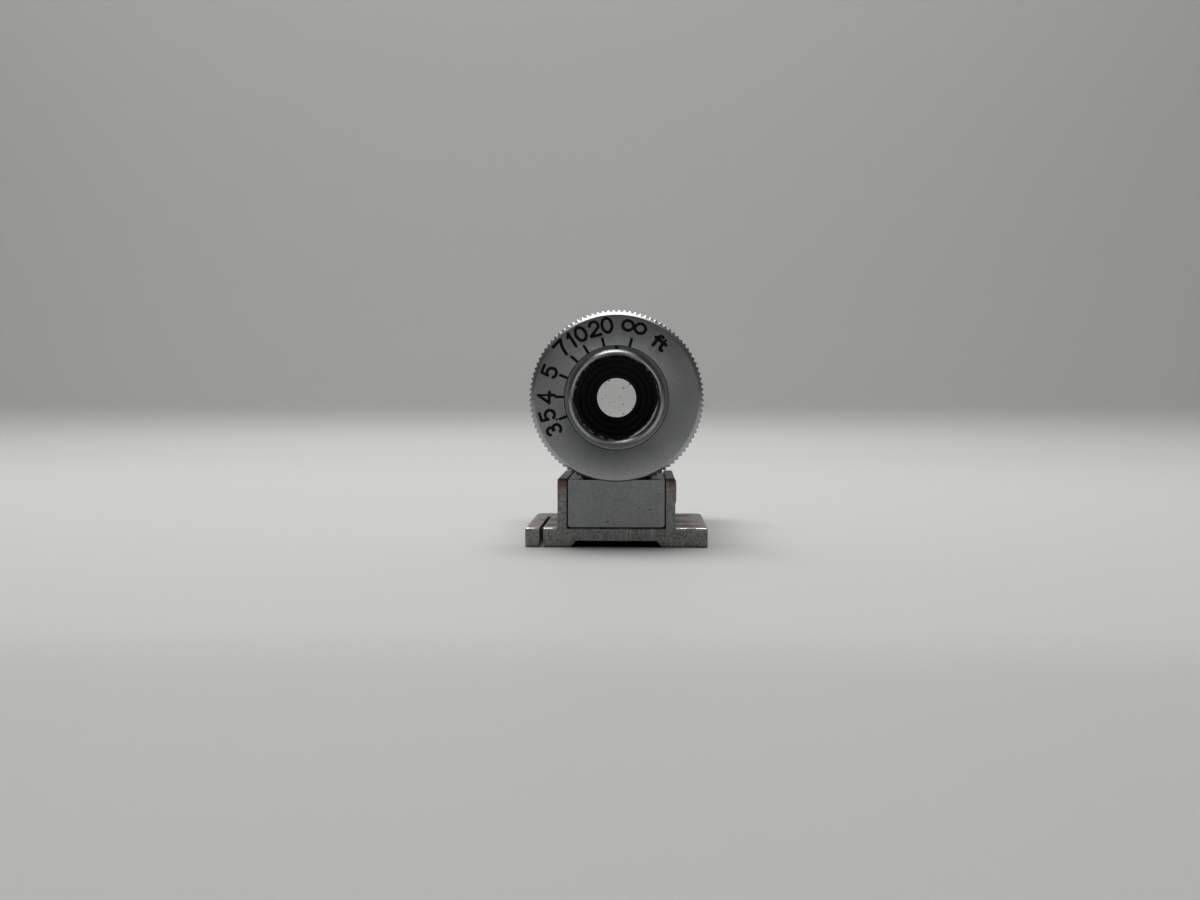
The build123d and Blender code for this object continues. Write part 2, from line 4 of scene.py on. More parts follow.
import bpy
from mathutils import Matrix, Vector


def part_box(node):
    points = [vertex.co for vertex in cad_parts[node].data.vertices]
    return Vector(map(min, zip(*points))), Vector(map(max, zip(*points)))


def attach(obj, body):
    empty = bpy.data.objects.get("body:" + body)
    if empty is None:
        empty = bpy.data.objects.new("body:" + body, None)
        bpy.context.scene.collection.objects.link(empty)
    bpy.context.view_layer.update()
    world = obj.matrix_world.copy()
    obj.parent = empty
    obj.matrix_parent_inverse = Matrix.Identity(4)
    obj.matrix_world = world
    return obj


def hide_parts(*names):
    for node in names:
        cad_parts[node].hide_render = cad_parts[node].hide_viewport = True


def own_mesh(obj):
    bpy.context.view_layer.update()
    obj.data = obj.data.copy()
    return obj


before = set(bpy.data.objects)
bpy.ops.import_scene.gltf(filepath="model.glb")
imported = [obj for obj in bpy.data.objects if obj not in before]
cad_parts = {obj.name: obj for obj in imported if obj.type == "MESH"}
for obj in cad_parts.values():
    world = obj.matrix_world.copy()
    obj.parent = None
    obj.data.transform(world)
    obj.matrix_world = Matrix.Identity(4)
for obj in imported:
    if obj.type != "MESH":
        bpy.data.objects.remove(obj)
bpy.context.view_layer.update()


# ---- Shoe bracket ------------------------------------------------------------------------------
# Foot plate and two ears, milled in one piece from brass and nickel plated. The plating is dull,
# speckled and stained where fingers and damp reach it, and bare along the edges that slide in a shoe.
def shader(tree, kind, sockets=None, **settings):
    """Adds a shader node; each socket gets a value or another node's output."""
    made = tree.nodes.new("ShaderNode" + kind)
    for name, value in settings.items():
        setattr(made, name, value)
    for name, value in (sockets or {}).items():
        if isinstance(value, bpy.types.NodeSocket):
            tree.links.new(value, made.inputs[name])
        else:
            made.inputs[name].default_value = value
    return made


def effect(name, takes, gives):
    """Starts a node group with named inputs (name, kind, default) and outputs (name, kind)."""
    group = bpy.data.node_groups.new(name, "ShaderNodeTree")
    for label, kind, default in takes:
        socket = group.interface.new_socket(label, in_out="INPUT", socket_type="NodeSocket" + kind)
        socket.default_value = default
    for label, kind in gives:
        group.interface.new_socket(label, in_out="OUTPUT", socket_type="NodeSocket" + kind)
    return group, group.nodes.new("NodeGroupInput").outputs, group.nodes.new("NodeGroupOutput").inputs


def sum_of(tree, operation, first, second, clamp=False):
    """One maths step between two values or outputs."""
    return shader(tree, "Math", {0: first, 1: second}, operation=operation, use_clamp=clamp).outputs[0]


def between(tree, value, low, high):
    """Mask that rises smoothly from 0 at low to 1 at high."""
    return shader(tree, "MapRange", {"Value": value, "From Min": low, "From Max": high},
                  interpolation_type="SMOOTHSTEP").outputs[0]


def blend_colour(tree, mask, under, over):
    """One colour over another by a mask."""
    return shader(tree, "Mix", {"Factor": mask, 6: under, 7: over}, data_type="RGBA").outputs[2]


def shade(level, tint=(1.0, 1.0, 1.0)):
    """A colour from one grey level and a tint."""
    return (level * tint[0], level * tint[1], level * tint[2], 1.0)


# worn edges: light where a corner has been rubbed
edge_wear, given, put = effect(
    "Worn edges",
    [("Vector", "Vector", (0, 0, 0)), ("Reach", "Float", 0.00015), ("Breakup", "Float", 0.5)],
    [("Mask", "Float")],
)
rounded = shader(edge_wear, "Bevel", {"Radius": given["Reach"]}, samples=6).outputs[0]
surface = shader(edge_wear, "NewGeometry").outputs["Normal"]
turn = shader(edge_wear, "VectorMath", {0: rounded, 1: surface}, operation="DOT_PRODUCT").outputs["Value"]
corner = between(edge_wear, sum_of(edge_wear, "SUBTRACT", 1.0, turn), 0.004, 0.12)
ragged = shader(edge_wear, "TexNoise",
                {"Vector": given["Vector"], "Scale": 2600.0, "Detail": 4.0}).outputs[0]
ragged = between(edge_wear, ragged, 0.62, 0.38)
ragged = sum_of(edge_wear, "SUBTRACT", 1.0, sum_of(edge_wear, "MULTIPLY", ragged, given["Breakup"]))
edge_wear.links.new(sum_of(edge_wear, "MULTIPLY", corner, ragged, True), put["Mask"])

# mottle: soft patches of tone, hard dark specks and a fine pitted surface
mottle, given, put = effect(
    "Plating mottle",
    [("Vector", "Vector", (0, 0, 0)), ("Patch Scale", "Float", 600.0), ("Speck Scale", "Float", 4200.0),
     ("Speck Share", "Float", 0.4)],
    [("Patches", "Float"), ("Specks", "Float"), ("Height", "Float")],
)
patches = shader(mottle, "TexNoise", {"Vector": given["Vector"], "Scale": given["Patch Scale"],
                                      "Detail": 5.0, "Roughness": 0.6}).outputs[0]
mottle.links.new(between(mottle, patches, 0.32, 0.68), put["Patches"])
specks = shader(mottle, "TexNoise", {"Vector": given["Vector"], "Scale": given["Speck Scale"],
                                     "Detail": 3.0, "Roughness": 0.7}).outputs[0]
limit = sum_of(mottle, "SUBTRACT", 0.74, sum_of(mottle, "MULTIPLY", given["Speck Share"], 0.3))
above = sum_of(mottle, "SUBTRACT", specks, limit)
mottle.links.new(between(mottle, above, 0.0, 0.05), put["Specks"])
fine = shader(mottle, "TexNoise", {"Vector": given["Vector"], "Scale": 11000.0, "Detail": 2.0}).outputs[0]
mottle.links.new(sum_of(mottle, "ADD", fine, sum_of(mottle, "MULTIPLY", specks, 0.8)), put["Height"])

# stain: a ragged patch round one place
stain, given, put = effect(
    "Stain",
    [("Vector", "Vector", (0, 0, 0)), ("Centre", "Vector", (0, 0, 0)), ("Size", "Float", 0.002),
     ("Ragged", "Float", 0.7)],
    [("Mask", "Float")],
)
apart = shader(stain, "VectorMath", {0: given["Vector"], 1: given["Centre"]},
               operation="DISTANCE").outputs["Value"]
reach = sum_of(stain, "DIVIDE", apart, given["Size"])
wander = shader(stain, "TexNoise",
                {"Vector": given["Vector"], "Scale": 1500.0, "Detail": 6.0, "Roughness": 0.65}).outputs[0]
wander = sum_of(stain, "MULTIPLY", sum_of(stain, "SUBTRACT", wander, 0.5),
                sum_of(stain, "MULTIPLY", given["Ragged"], 4.0))
stain.links.new(between(stain, sum_of(stain, "ADD", reach, wander), 1.1, 0.55), put["Mask"])

# scratches: thin short lines in two directions
scratches, given, put = effect(
    "Fine scratches",
    [("Vector", "Vector", (0, 0, 0)), ("Scale", "Float", 900.0), ("Share", "Float", 0.5)],
    [("Mask", "Float")],
)
lines = []
for tilt, seed in ((0.5, 3.0), (-0.9, 17.0)):
    turned_space = shader(scratches, "Mapping",
                          {"Vector": given["Vector"], "Rotation": (tilt, tilt * 0.7, tilt),
                           "Location": (seed, seed, 0), "Scale": (1.0, 0.06, 0.06)}).outputs[0]
    line = shader(scratches, "TexVoronoi", {"Vector": turned_space, "Scale": given["Scale"]},
                  feature="DISTANCE_TO_EDGE").outputs["Distance"]
    where = shader(scratches, "TexNoise", {"Vector": given["Vector"], "Scale": 420.0, "Detail": 2.0,
                                           "Distortion": seed * 0.01}).outputs[0]
    lines.append(sum_of(scratches, "MULTIPLY", between(scratches, line, 0.035, 0.0),
                        between(scratches, where, 0.52, 0.62)))
both = sum_of(scratches, "MULTIPLY", sum_of(scratches, "ADD", lines[0], lines[1], True), given["Share"])
scratches.links.new(both, put["Mask"])


# scattered dots: small round spots of uneven size, far apart
dots, given, put = effect(
    "Scattered dots",
    [("Vector", "Vector", (0, 0, 0)), ("Scale", "Float", 900.0), ("Share", "Float", 0.9),
     ("Size", "Float", 0.16)],
    [("Mask", "Float")],
)
cells = shader(dots, "TexVoronoi", {"Vector": given["Vector"], "Scale": given["Scale"]}).outputs
sizes = shader(dots, "SeparateColor", {0: cells["Color"]}).outputs[0]
sizes = sum_of(dots, "MAXIMUM",
               sum_of(dots, "SUBTRACT", sizes, sum_of(dots, "SUBTRACT", 1.0, given["Share"])), 0.0)
rim_at = sum_of(dots, "MULTIPLY", sizes, given["Size"])
dots.links.new(between(dots, sum_of(dots, "SUBTRACT", cells["Distance"], rim_at), 0.01, -0.01), put["Mask"])


def new_finish(name):
    """An empty material with its shader and the object's own coordinates."""
    finish = bpy.data.materials.new(name)
    finish.use_nodes = True
    tree = finish.node_tree
    tree.nodes.clear()
    body = shader(tree, "BsdfPrincipled")
    output = shader(tree, "OutputMaterial")
    tree.links.new(body.outputs[0], output.inputs[0])
    place = shader(tree, "TexCoord").outputs["Object"]
    return finish, tree, body, place


def use(tree, group, sockets):
    """Places one of the shared effects in a material."""
    return shader(tree, "Group", sockets, node_tree=group).outputs


def raise_surface(tree, body, height, depth, strength=1.0):
    """Bump from a height; depth is in metres."""
    bump = shader(tree, "Bump", {"Height": height, "Distance": depth, "Strength": strength})
    tree.links.new(bump.outputs[0], body.inputs["Normal"])


low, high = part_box("shoe_bracket")
plate_top, plate_corner, ear_inner, ear_outer = 0.00195, 0.001, 0.005, 0.006
ear_front_round, ear_rear_round = 0.0022, 0.00035
relief_mouth, relief_ceiling, relief_height = 0.004795, 0.004225, 0.0008
slit_outer, slit_inner, slit_length = 0.00786, 0.00744, 0.0135
pivot_y, pivot_z, pivot_hole = 0.0026, 0.0049, 0.0008
hold_down_y, hold_down_hole = -0.00175, 0.0008
# places and sizes of the brown stains, on the plate and on the ears' tops
stains = [((0.0072, -0.0062, 0.0020), 0.0016), ((0.0064, -0.0015, 0.0020), 0.0022),
          ((-0.0066, -0.0055, 0.0020), 0.0015), ((-0.0071, 0.0005, 0.0020), 0.0020),
          ((-0.0055, -0.0088, 0.0070), 0.0010), ((0.0055, -0.0085, 0.0070), 0.0011),
          ((0.0066, 0.0060, 0.0020), 0.0016)]

worn_nickel, tree, body, place = new_finish("worn_nickel")
mottled = use(tree, mottle,
              {"Vector": place, "Patch Scale": 520.0, "Speck Scale": 5600.0, "Speck Share": 0.74})
coarse = use(tree, mottle,
             {"Vector": place, "Patch Scale": 1900.0, "Speck Scale": 2600.0, "Speck Share": 0.30})
metal = blend_colour(tree, mottled["Patches"], shade(0.31, (1.0, 0.99, 0.97)),
                     shade(0.42, (1.0, 0.995, 0.975)))
metal = blend_colour(tree, sum_of(tree, "MULTIPLY", coarse["Patches"], 0.35), metal,
                     shade(0.27, (1.0, 0.96, 0.92)))
metal = blend_colour(tree, sum_of(tree, "MULTIPLY", mottled["Specks"], 0.75), metal,
                     shade(0.14, (1.0, 0.90, 0.83)))
metal = blend_colour(tree, sum_of(tree, "MULTIPLY", coarse["Specks"], 0.75), metal,
                     shade(0.10, (1.0, 0.85, 0.78)))
scored = use(tree, scratches, {"Vector": place, "Scale": 700.0, "Share": 0.6})
metal = blend_colour(tree, scored["Mask"], metal, shade(0.62))
rust = None
for centre, size in stains:
    spot = use(tree, stain, {"Vector": place, "Centre": centre, "Size": size, "Ragged": 0.75})["Mask"]
    rust = spot if rust is None else sum_of(tree, "MAXIMUM", rust, spot)
brown = blend_colour(tree, mottled["Patches"], shade(0.23, (1.0, 0.54, 0.42)),
                     shade(0.16, (1.0, 0.64, 0.54)))
metal = blend_colour(tree, sum_of(tree, "MULTIPLY", rust, 0.82), metal, brown)
bare = use(tree, edge_wear, {"Vector": place, "Reach": 0.00022, "Breakup": 0.7})["Mask"]
# the plate's rear top edge, beside the ears, is rubbed brightest; edges near the floor are hardly worn
spot = shader(tree, "SeparateXYZ", {0: place}).outputs
rubbed = between(tree, coarse["Patches"], 0.1, 0.5)
for near_edge in (between(tree, spot["Y"], low.y + 0.0003, low.y + 0.0001),
                  between(tree, spot["Z"], plate_top - 0.00022, plate_top - 0.0001),
                  between(tree, sum_of(tree, "ABSOLUTE", spot["X"], 0.0), ear_outer, ear_outer + 0.0002)):
    rubbed = sum_of(tree, "MULTIPLY", rubbed, near_edge)
handled = sum_of(tree, "MULTIPLY", between(tree, spot["Z"], 0.0005, 0.0018), 0.6)
bare = sum_of(tree, "MAXIMUM", sum_of(tree, "MULTIPLY", bare, handled), rubbed)
metal = blend_colour(tree, sum_of(tree, "MULTIPLY", bare, 0.95), metal, shade(0.95, (1.0, 0.985, 0.95)))
tree.links.new(metal, body.inputs["Base Color"])
dull = sum_of(tree, "ADD", 0.36, sum_of(tree, "MULTIPLY", mottled["Patches"], 0.14))
dull = sum_of(tree, "ADD", dull, sum_of(tree, "MULTIPLY", rust, 0.16))
tree.links.new(sum_of(tree, "SUBTRACT", dull, sum_of(tree, "MULTIPLY", bare, 0.2)),
               body.inputs["Roughness"])
tree.links.new(sum_of(tree, "SUBTRACT", 1.0, sum_of(tree, "MULTIPLY", rust, 0.35)), body.inputs["Metallic"])
raise_surface(tree, body, mottled["Height"], 0.0000032, 0.7)


def start_piece(name):
    """Names the primitive just added, applies its place and opens it for editing."""
    made = bpy.context.object
    made.name = name
    bpy.ops.object.transform_apply(location=True, rotation=True, scale=True)
    bpy.ops.object.mode_set(mode="EDIT")
    bpy.ops.mesh.select_all(action="DESELECT")
    return made


def add_block(name, low, high):
    """A box between two corners, open for editing."""
    bpy.ops.object.select_all(action="DESELECT")
    middle = [(a + b) / 2 for a, b in zip(low, high)]
    size = [b - a for a, b in zip(low, high)]
    bpy.ops.mesh.primitive_cube_add(size=1, location=middle)
    bpy.context.object.scale = size
    return start_piece(name)


def pick(piece, kind, wanted):
    """Selects the corners by place, edges by their two ends or faces by middle and normal."""
    bpy.ops.object.mode_set(mode="OBJECT")
    mesh = piece.data
    for group in (mesh.vertices, mesh.edges, mesh.polygons):
        group.foreach_set("select", [False] * len(group))
    if kind == "VERT":
        for corner in mesh.vertices:
            corner.select = bool(wanted(corner.co))
    elif kind == "FACE":
        for face in mesh.polygons:
            face.select = bool(wanted(face.center, face.normal))
    else:
        for edge in mesh.edges:
            one, two = (mesh.vertices[number].co for number in edge.vertices)
            edge.select = bool(wanted(one, two))
    bpy.context.tool_settings.mesh_select_mode = (kind == "VERT", kind == "EDGE", kind == "FACE")
    bpy.ops.object.mode_set(mode="EDIT")


def slice_at(place, normal):
    """Cuts new edges across the whole piece on one plane."""
    bpy.ops.mesh.select_all(action="SELECT")
    bpy.ops.mesh.bisect(plane_co=place, plane_no=normal, threshold=1e-7)


def ease_edges(piece, width, segments=4, angle=40):
    """Rounds the piece's sharp edges with an applied bevel."""
    bpy.context.view_layer.objects.active = piece
    bevel = piece.modifiers.new("ease", "BEVEL")
    bevel.width, bevel.segments = width, segments
    bevel.limit_method, bevel.angle_limit = "ANGLE", radians(angle)
    bpy.ops.object.modifier_apply(modifier=bevel.name)


def cut_away(piece, cutter, crossing=False):
    """Takes the cutter's shape out of the piece; crossing is for a cutter that passes through itself."""
    bpy.context.view_layer.objects.active = piece
    boolean = piece.modifiers.new("cut", "BOOLEAN")
    boolean.object, boolean.operation = cutter, "DIFFERENCE"
    boolean.solver, boolean.use_self = "EXACT", crossing
    bpy.ops.object.modifier_apply(modifier=boolean.name)
    bpy.data.objects.remove(cutter)


def drill(piece, start, end, radius, sides=96):
    """Drills a round hole between two points."""
    start, end = Vector(start), Vector(end)
    bpy.ops.object.select_all(action="DESELECT")
    turn = (end - start).to_track_quat("Z", "Y").to_euler()
    bpy.ops.mesh.primitive_cylinder_add(vertices=sides, radius=radius, depth=(end - start).length,
                                        location=(start + end) / 2, rotation=turn)
    cut_away(piece, bpy.context.object)


def close_up(piece, angle=32, flats=True):
    """Merges doubles, turns faces outward and shades flats flat and rounds smooth."""
    bpy.ops.object.mode_set(mode="OBJECT")
    bpy.ops.object.select_all(action="DESELECT")
    piece.select_set(True)
    bpy.context.view_layer.objects.active = piece
    bpy.ops.object.mode_set(mode="EDIT")
    bpy.ops.mesh.select_all(action="SELECT")
    bpy.ops.mesh.remove_doubles(threshold=1e-6)
    bpy.ops.mesh.normals_make_consistent(inside=False)
    bpy.ops.object.mode_set(mode="OBJECT")
    bpy.ops.object.shade_smooth_by_angle(angle=radians(angle))
    if not flats:
        return
    weighted = piece.modifiers.new("weighted", "WEIGHTED_NORMAL")
    weighted.keep_sharp = True
    bpy.ops.object.modifier_apply(modifier=weighted.name)


def fit(piece, rides_on, slot, finish, *nodes):
    """Gives the piece its finish and its body, and hides the CAD nodes it stands for."""
    piece.data.materials.clear()
    piece.data.materials.append(finish)
    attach(piece, rides_on)
    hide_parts(*nodes)


bracket = add_block("shoe_foot", (low.x, low.y, 0), (high.x, high.y, plate_top))
pick(bracket, "EDGE", lambda a, b: abs(a.z - b.z) > 0.001 and a.y > 0)
bpy.ops.mesh.bevel(offset=plate_corner, segments=10, affect="EDGES", clamp_overlap=False)
for side in (-1, 1):
    for x in (ear_inner, ear_outer, relief_mouth):
        slice_at((side * x, 0, 0), (1, 0, 0))
pick(bracket, "FACE", lambda c, n: n.z > 0.9 and ear_inner < abs(c.x) < ear_outer)
bpy.ops.mesh.extrude_region_move(TRANSFORM_OT_translate={"value": (0, 0, high.z - plate_top)})
pick(bracket, "FACE", lambda c, n: n.z < -0.9 and abs(c.x) < relief_mouth - 0.0001)
bpy.ops.mesh.extrude_region_move(TRANSFORM_OT_translate={"value": (0, 0, relief_height)})
bpy.ops.transform.resize(value=(relief_ceiling / relief_mouth, 1, 1), center_override=(0, 0, relief_height))
pick(bracket, "EDGE", lambda a, b: min(a.z, b.z) > high.z - 1e-5 and min(a.y, b.y) > high.y - 1e-5)
bpy.ops.mesh.bevel(offset=ear_front_round, segments=14, affect="EDGES", clamp_overlap=False)
pick(bracket, "EDGE", lambda a, b: min(a.z, b.z) > high.z - 1e-5 and max(a.y, b.y) < low.y + 1e-5)
bpy.ops.mesh.bevel(offset=ear_rear_round, segments=5, affect="EDGES", clamp_overlap=False)
bpy.ops.object.mode_set(mode="OBJECT")
ease_edges(bracket, 0.00014, 4)
slit = add_block("slit", (-slit_outer, low.y - 0.001, -0.001), (-slit_inner, low.y + slit_length, 0.003))
bpy.ops.object.mode_set(mode="OBJECT")
cut_away(bracket, slit)
drill(bracket, (0, hold_down_y, -0.001), (0, hold_down_y, 0.003), hold_down_hole)
for side in (-1, 1):
    drill(bracket, (side * 0.0045, pivot_y, pivot_z), (side * 0.0065, pivot_y, pivot_z), pivot_hole)
ease_edges(bracket, 0.00003, 2, 60)
close_up(bracket)
fit(bracket, "foot", "worn_nickel", worn_nickel, "shoe_bracket")

# ---- Pivot screws ------------------------------------------------------------------------------
# Two slotted shoulder screws of turned steel, one through each ear. The block swings on their plain tips.
head_radius, head_height, tip_radius, tip_x = 0.0013, 0.00035, 0.00078, 0.0033
slot_x, slot_y, slot_z = 0.00717, (0.00245, 0.00275), (0.0030, 0.0068)

screw_steel, tree, body, place = new_finish("screw_steel")
mottled = use(tree, mottle,
              {"Vector": place, "Patch Scale": 1500.0, "Speck Scale": 6000.0, "Speck Share": 0.35})
metal = blend_colour(tree, mottled["Patches"], shade(0.30, (1.0, 0.98, 0.95)), shade(0.42))
metal = blend_colour(tree, mottled["Specks"], metal, shade(0.13, (1.0, 0.8, 0.66)))
bare = use(tree, edge_wear, {"Vector": place, "Reach": 0.00006, "Breakup": 0.4})["Mask"]
metal = blend_colour(tree, bare, metal, shade(0.66))
tree.links.new(metal, body.inputs["Base Color"])
tree.links.new(sum_of(tree, "ADD", 0.27, sum_of(tree, "MULTIPLY", mottled["Patches"], 0.15)),
               body.inputs["Roughness"])
body.inputs["Metallic"].default_value = 1.0
raise_surface(tree, body, mottled["Height"], 0.000002, 0.6)

for side, label in ((-1, "left"), (1, "right")):
    bpy.ops.object.select_all(action="DESELECT")
    bpy.ops.mesh.primitive_cylinder_add(vertices=96, radius=head_radius, depth=head_height,
                                        rotation=(0, pi / 2, 0),
                                        location=(side * (ear_outer + head_height / 2), pivot_y, pivot_z))
    screw = start_piece("pivot_screw_" + label)
    pick(screw, "FACE", lambda c, n: n.x * side < -0.9)
    bpy.ops.mesh.inset(thickness=head_radius - tip_radius)
    bpy.ops.mesh.extrude_region_move(TRANSFORM_OT_translate={"value": (-side * (ear_outer - tip_x), 0, 0)})
    pick(screw, "EDGE", lambda a, b: min(a.x * side, b.x * side) > ear_outer + head_height - 0.00005)
    bpy.ops.mesh.bevel(offset=0.00013, segments=4, affect="EDGES")
    bpy.ops.object.mode_set(mode="OBJECT")
    slot = add_block("slot", (-0.001 + side * slot_x, slot_y[0], slot_z[0]),
                     (0.001 + side * slot_x, slot_y[1], slot_z[1]))
    bpy.ops.object.mode_set(mode="OBJECT")
    cut_away(screw, slot)
    ease_edges(screw, 0.00002, 2, 55)
    close_up(screw)
    fit(screw, "foot", "screw_steel", screw_steel, "pivot_screws")

# ---- Hold-down screw and its spring --------------------------------------------------------------
# A slotted steel screw from the block's pocket into the foot, with an open coil of spring wire
# round it that pulls the eye end down.
def refinish(name, finish):
    """Gives a CAD node that is kept as it is a better material."""
    for node_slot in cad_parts[name].material_slots:
        node_slot.material = finish


refinish("hold_down_screw", screw_steel)
spring_steel, tree, body, place = new_finish("spring_steel")
mottled = use(tree, mottle,
              {"Vector": place, "Patch Scale": 2500.0, "Speck Scale": 9000.0, "Speck Share": 0.3})
metal = blend_colour(tree, mottled["Patches"], shade(0.25, (1.0, 0.98, 0.95)), shade(0.36))
tree.links.new(blend_colour(tree, mottled["Specks"], metal, shade(0.12, (1.0, 0.78, 0.6))),
               body.inputs["Base Color"])
tree.links.new(sum_of(tree, "ADD", 0.25, sum_of(tree, "MULTIPLY", mottled["Patches"], 0.12)),
               body.inputs["Roughness"])
body.inputs["Metallic"].default_value = 1.0
raise_surface(tree, body, mottled["Height"], 0.000001, 0.5)

low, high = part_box("hold_down_spring")
wire, turns = 0.0003, 3.5
bpy.ops.object.select_all(action="DESELECT")
bpy.ops.mesh.primitive_circle_add(vertices=16, radius=wire / 2, location=(0, hold_down_y, low.z + wire / 2),
                                  rotation=(pi / 2, 0, 0))
spring = bpy.context.object
spring.name = "hold_down_coil"
bpy.ops.object.transform_apply(location=False, rotation=True, scale=False)
bpy.ops.object.mode_set(mode="EDIT")
bpy.ops.mesh.select_all(action="SELECT")
bpy.ops.transform.translate(value=((high.x - low.x) / 2 - wire / 2, 0, 0))
bpy.ops.object.mode_set(mode="OBJECT")
coil = spring.modifiers.new("coil", "SCREW")
coil.angle, coil.screw_offset = turns * 2 * pi, high.z - low.z - wire
coil.steps = coil.render_steps = int(turns * 48)
bpy.ops.object.modifier_apply(modifier=coil.name)
bpy.ops.object.transform_apply(location=True, rotation=True, scale=True)
bpy.ops.object.mode_set(mode="EDIT")
bpy.ops.mesh.select_all(action="SELECT")
bpy.ops.mesh.fill_holes(sides=0)
close_up(spring)
fit(spring, "foot", "spring_steel", spring_steel, "hold_down_spring")
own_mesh(spring)

# ---- Tilting block -------------------------------------------------------------------------------
# Plain milled block between the ears, satin chromed. The barrel lies in the saddle on its top, and its
# underside ahead of the pivot is cut away so that the front can dip.
block_chrome, tree, body, place = new_finish("block_chrome")
mottled = use(tree, mottle,
              {"Vector": place, "Patch Scale": 260.0, "Speck Scale": 5200.0, "Speck Share": 0.12})
cloudy = use(tree, mottle,
             {"Vector": place, "Patch Scale": 3400.0, "Speck Scale": 2400.0, "Speck Share": 0.16})
metal = blend_colour(tree, mottled["Patches"], shade(0.345, (0.955, 1.0, 0.995)),
                     shade(0.40, (0.965, 1.0, 0.99)))
metal = blend_colour(tree, sum_of(tree, "MULTIPLY", cloudy["Patches"], 0.7), metal,
                     shade(0.29, (0.97, 1.0, 0.99)))
metal = blend_colour(tree, mottled["Specks"], metal, shade(0.2, (1.0, 0.97, 0.94)))
metal = blend_colour(tree, sum_of(tree, "MULTIPLY", cloudy["Specks"], 0.6), metal,
                     shade(0.14, (1.0, 0.93, 0.9)))
scored = use(tree, scratches, {"Vector": place, "Scale": 520.0, "Share": 0.22})
metal = blend_colour(tree, scored["Mask"], metal, shade(0.58))
pits = use(tree, dots, {"Vector": place, "Scale": 1150.0, "Share": 0.9, "Size": 0.17})["Mask"]
metal = blend_colour(tree, sum_of(tree, "MULTIPLY", pits, 0.75), metal, shade(0.05, (1.0, 0.9, 0.85)))
bare = use(tree, edge_wear, {"Vector": place, "Reach": 0.00008, "Breakup": 0.5})["Mask"]
metal = blend_colour(tree, sum_of(tree, "MULTIPLY", bare, 0.4), metal, shade(0.7))
tree.links.new(metal, body.inputs["Base Color"])
tree.links.new(sum_of(tree, "ADD", 0.38, sum_of(tree, "MULTIPLY", mottled["Patches"], 0.08)),
               body.inputs["Roughness"])
body.inputs["Metallic"].default_value = 1.0
raise_surface(tree, body, sum_of(tree, "SUBTRACT", mottled["Height"], sum_of(tree, "MULTIPLY", pits, 6.0)),
              0.0000022, 0.6)

low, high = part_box("tilt_block")
funnel_low, funnel_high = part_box("eyepiece_funnel")
axis_z = funnel_low.z + (funnel_high.z - funnel_low.z) / 2
block_top, bottom_round, saddle_half = low.z + 0.0048, 0.0003, 0.0036
knurl_rear, knurl_middle, knurl_front = -0.00865, -0.00715, -0.00565
barrel_seat, face_room, knurl_room = 0.00801, 0.00855, 0.0090
pivot_bore, block_front, front_cut = 0.00083, 0.0100, radians(3)
# bores in the block: place along it, from and to which height, radius
bores = [(-0.00455, 0, 0.009, 0.00075), (hold_down_y, 0, 0.009, 0.00105),
         (hold_down_y, 0.0033, 0.009, 0.0016)]
for screw_y in (0.00102, 0.00705):
    bores += [(screw_y, 0, 0.009, 0.00072), (screw_y, 0, 0.00295, 0.0012)]
block = add_block("tilting_block", (low.x, low.y, low.z), (high.x, high.y, block_top))
pick(block, "EDGE", lambda a, b: max(a.z, b.z) < low.z + 1e-5 and abs(a.y - b.y) > 0.01)
bpy.ops.mesh.bevel(offset=bottom_round, segments=6, affect="EDGES", clamp_overlap=False)
slice_at((0, knurl_front + 0.0001, 0), (0, 1, 0))
for side in (-1, 1):
    slice_at((side * saddle_half, 0, 0), (1, 0, 0))
pick(block, "FACE", lambda c, n: n.z > 0.9 and abs(c.x) < saddle_half and c.y > knurl_front)
bpy.ops.mesh.extrude_region_move(TRANSFORM_OT_translate={"value": (0, 0, high.z - block_top)})
bpy.ops.object.mode_set(mode="OBJECT")
wedge = add_block("wedge", (-0.006, pivot_y, low.z - 0.002), (0.006, block_front, low.z))
pick(wedge, "EDGE", lambda a, b: min(a.y, b.y) > block_front - 0.0001 and min(a.z, b.z) > low.z - 1e-5)
bpy.ops.transform.translate(value=(0, 0, (block_front - pivot_y) * tan(front_cut)))
bpy.ops.object.mode_set(mode="OBJECT")
cut_away(block, wedge)
drill(block, (0, knurl_front, axis_z), (0, block_front, axis_z), barrel_seat, 384)
drill(block, (0, -0.0100, axis_z), (0, knurl_rear, axis_z), face_room, 384)
drill(block, (0, knurl_rear - 0.00005, axis_z), (0, knurl_front + 0.0001, axis_z), knurl_room, 384)
for y, start, end, radius in bores:
    drill(block, (0, y, start), (0, y, end), radius, 64)
for side in (-1, 1):
    drill(block, (side * 0.0032, pivot_y, pivot_z), (side * 0.0055, pivot_y, pivot_z), pivot_bore, 64)
ease_edges(block, 0.00004, 3, 55)
close_up(block)
fit(block, "finder", "satin_chrome", block_chrome, "tilt_block")
refinish("block_screws", screw_steel)

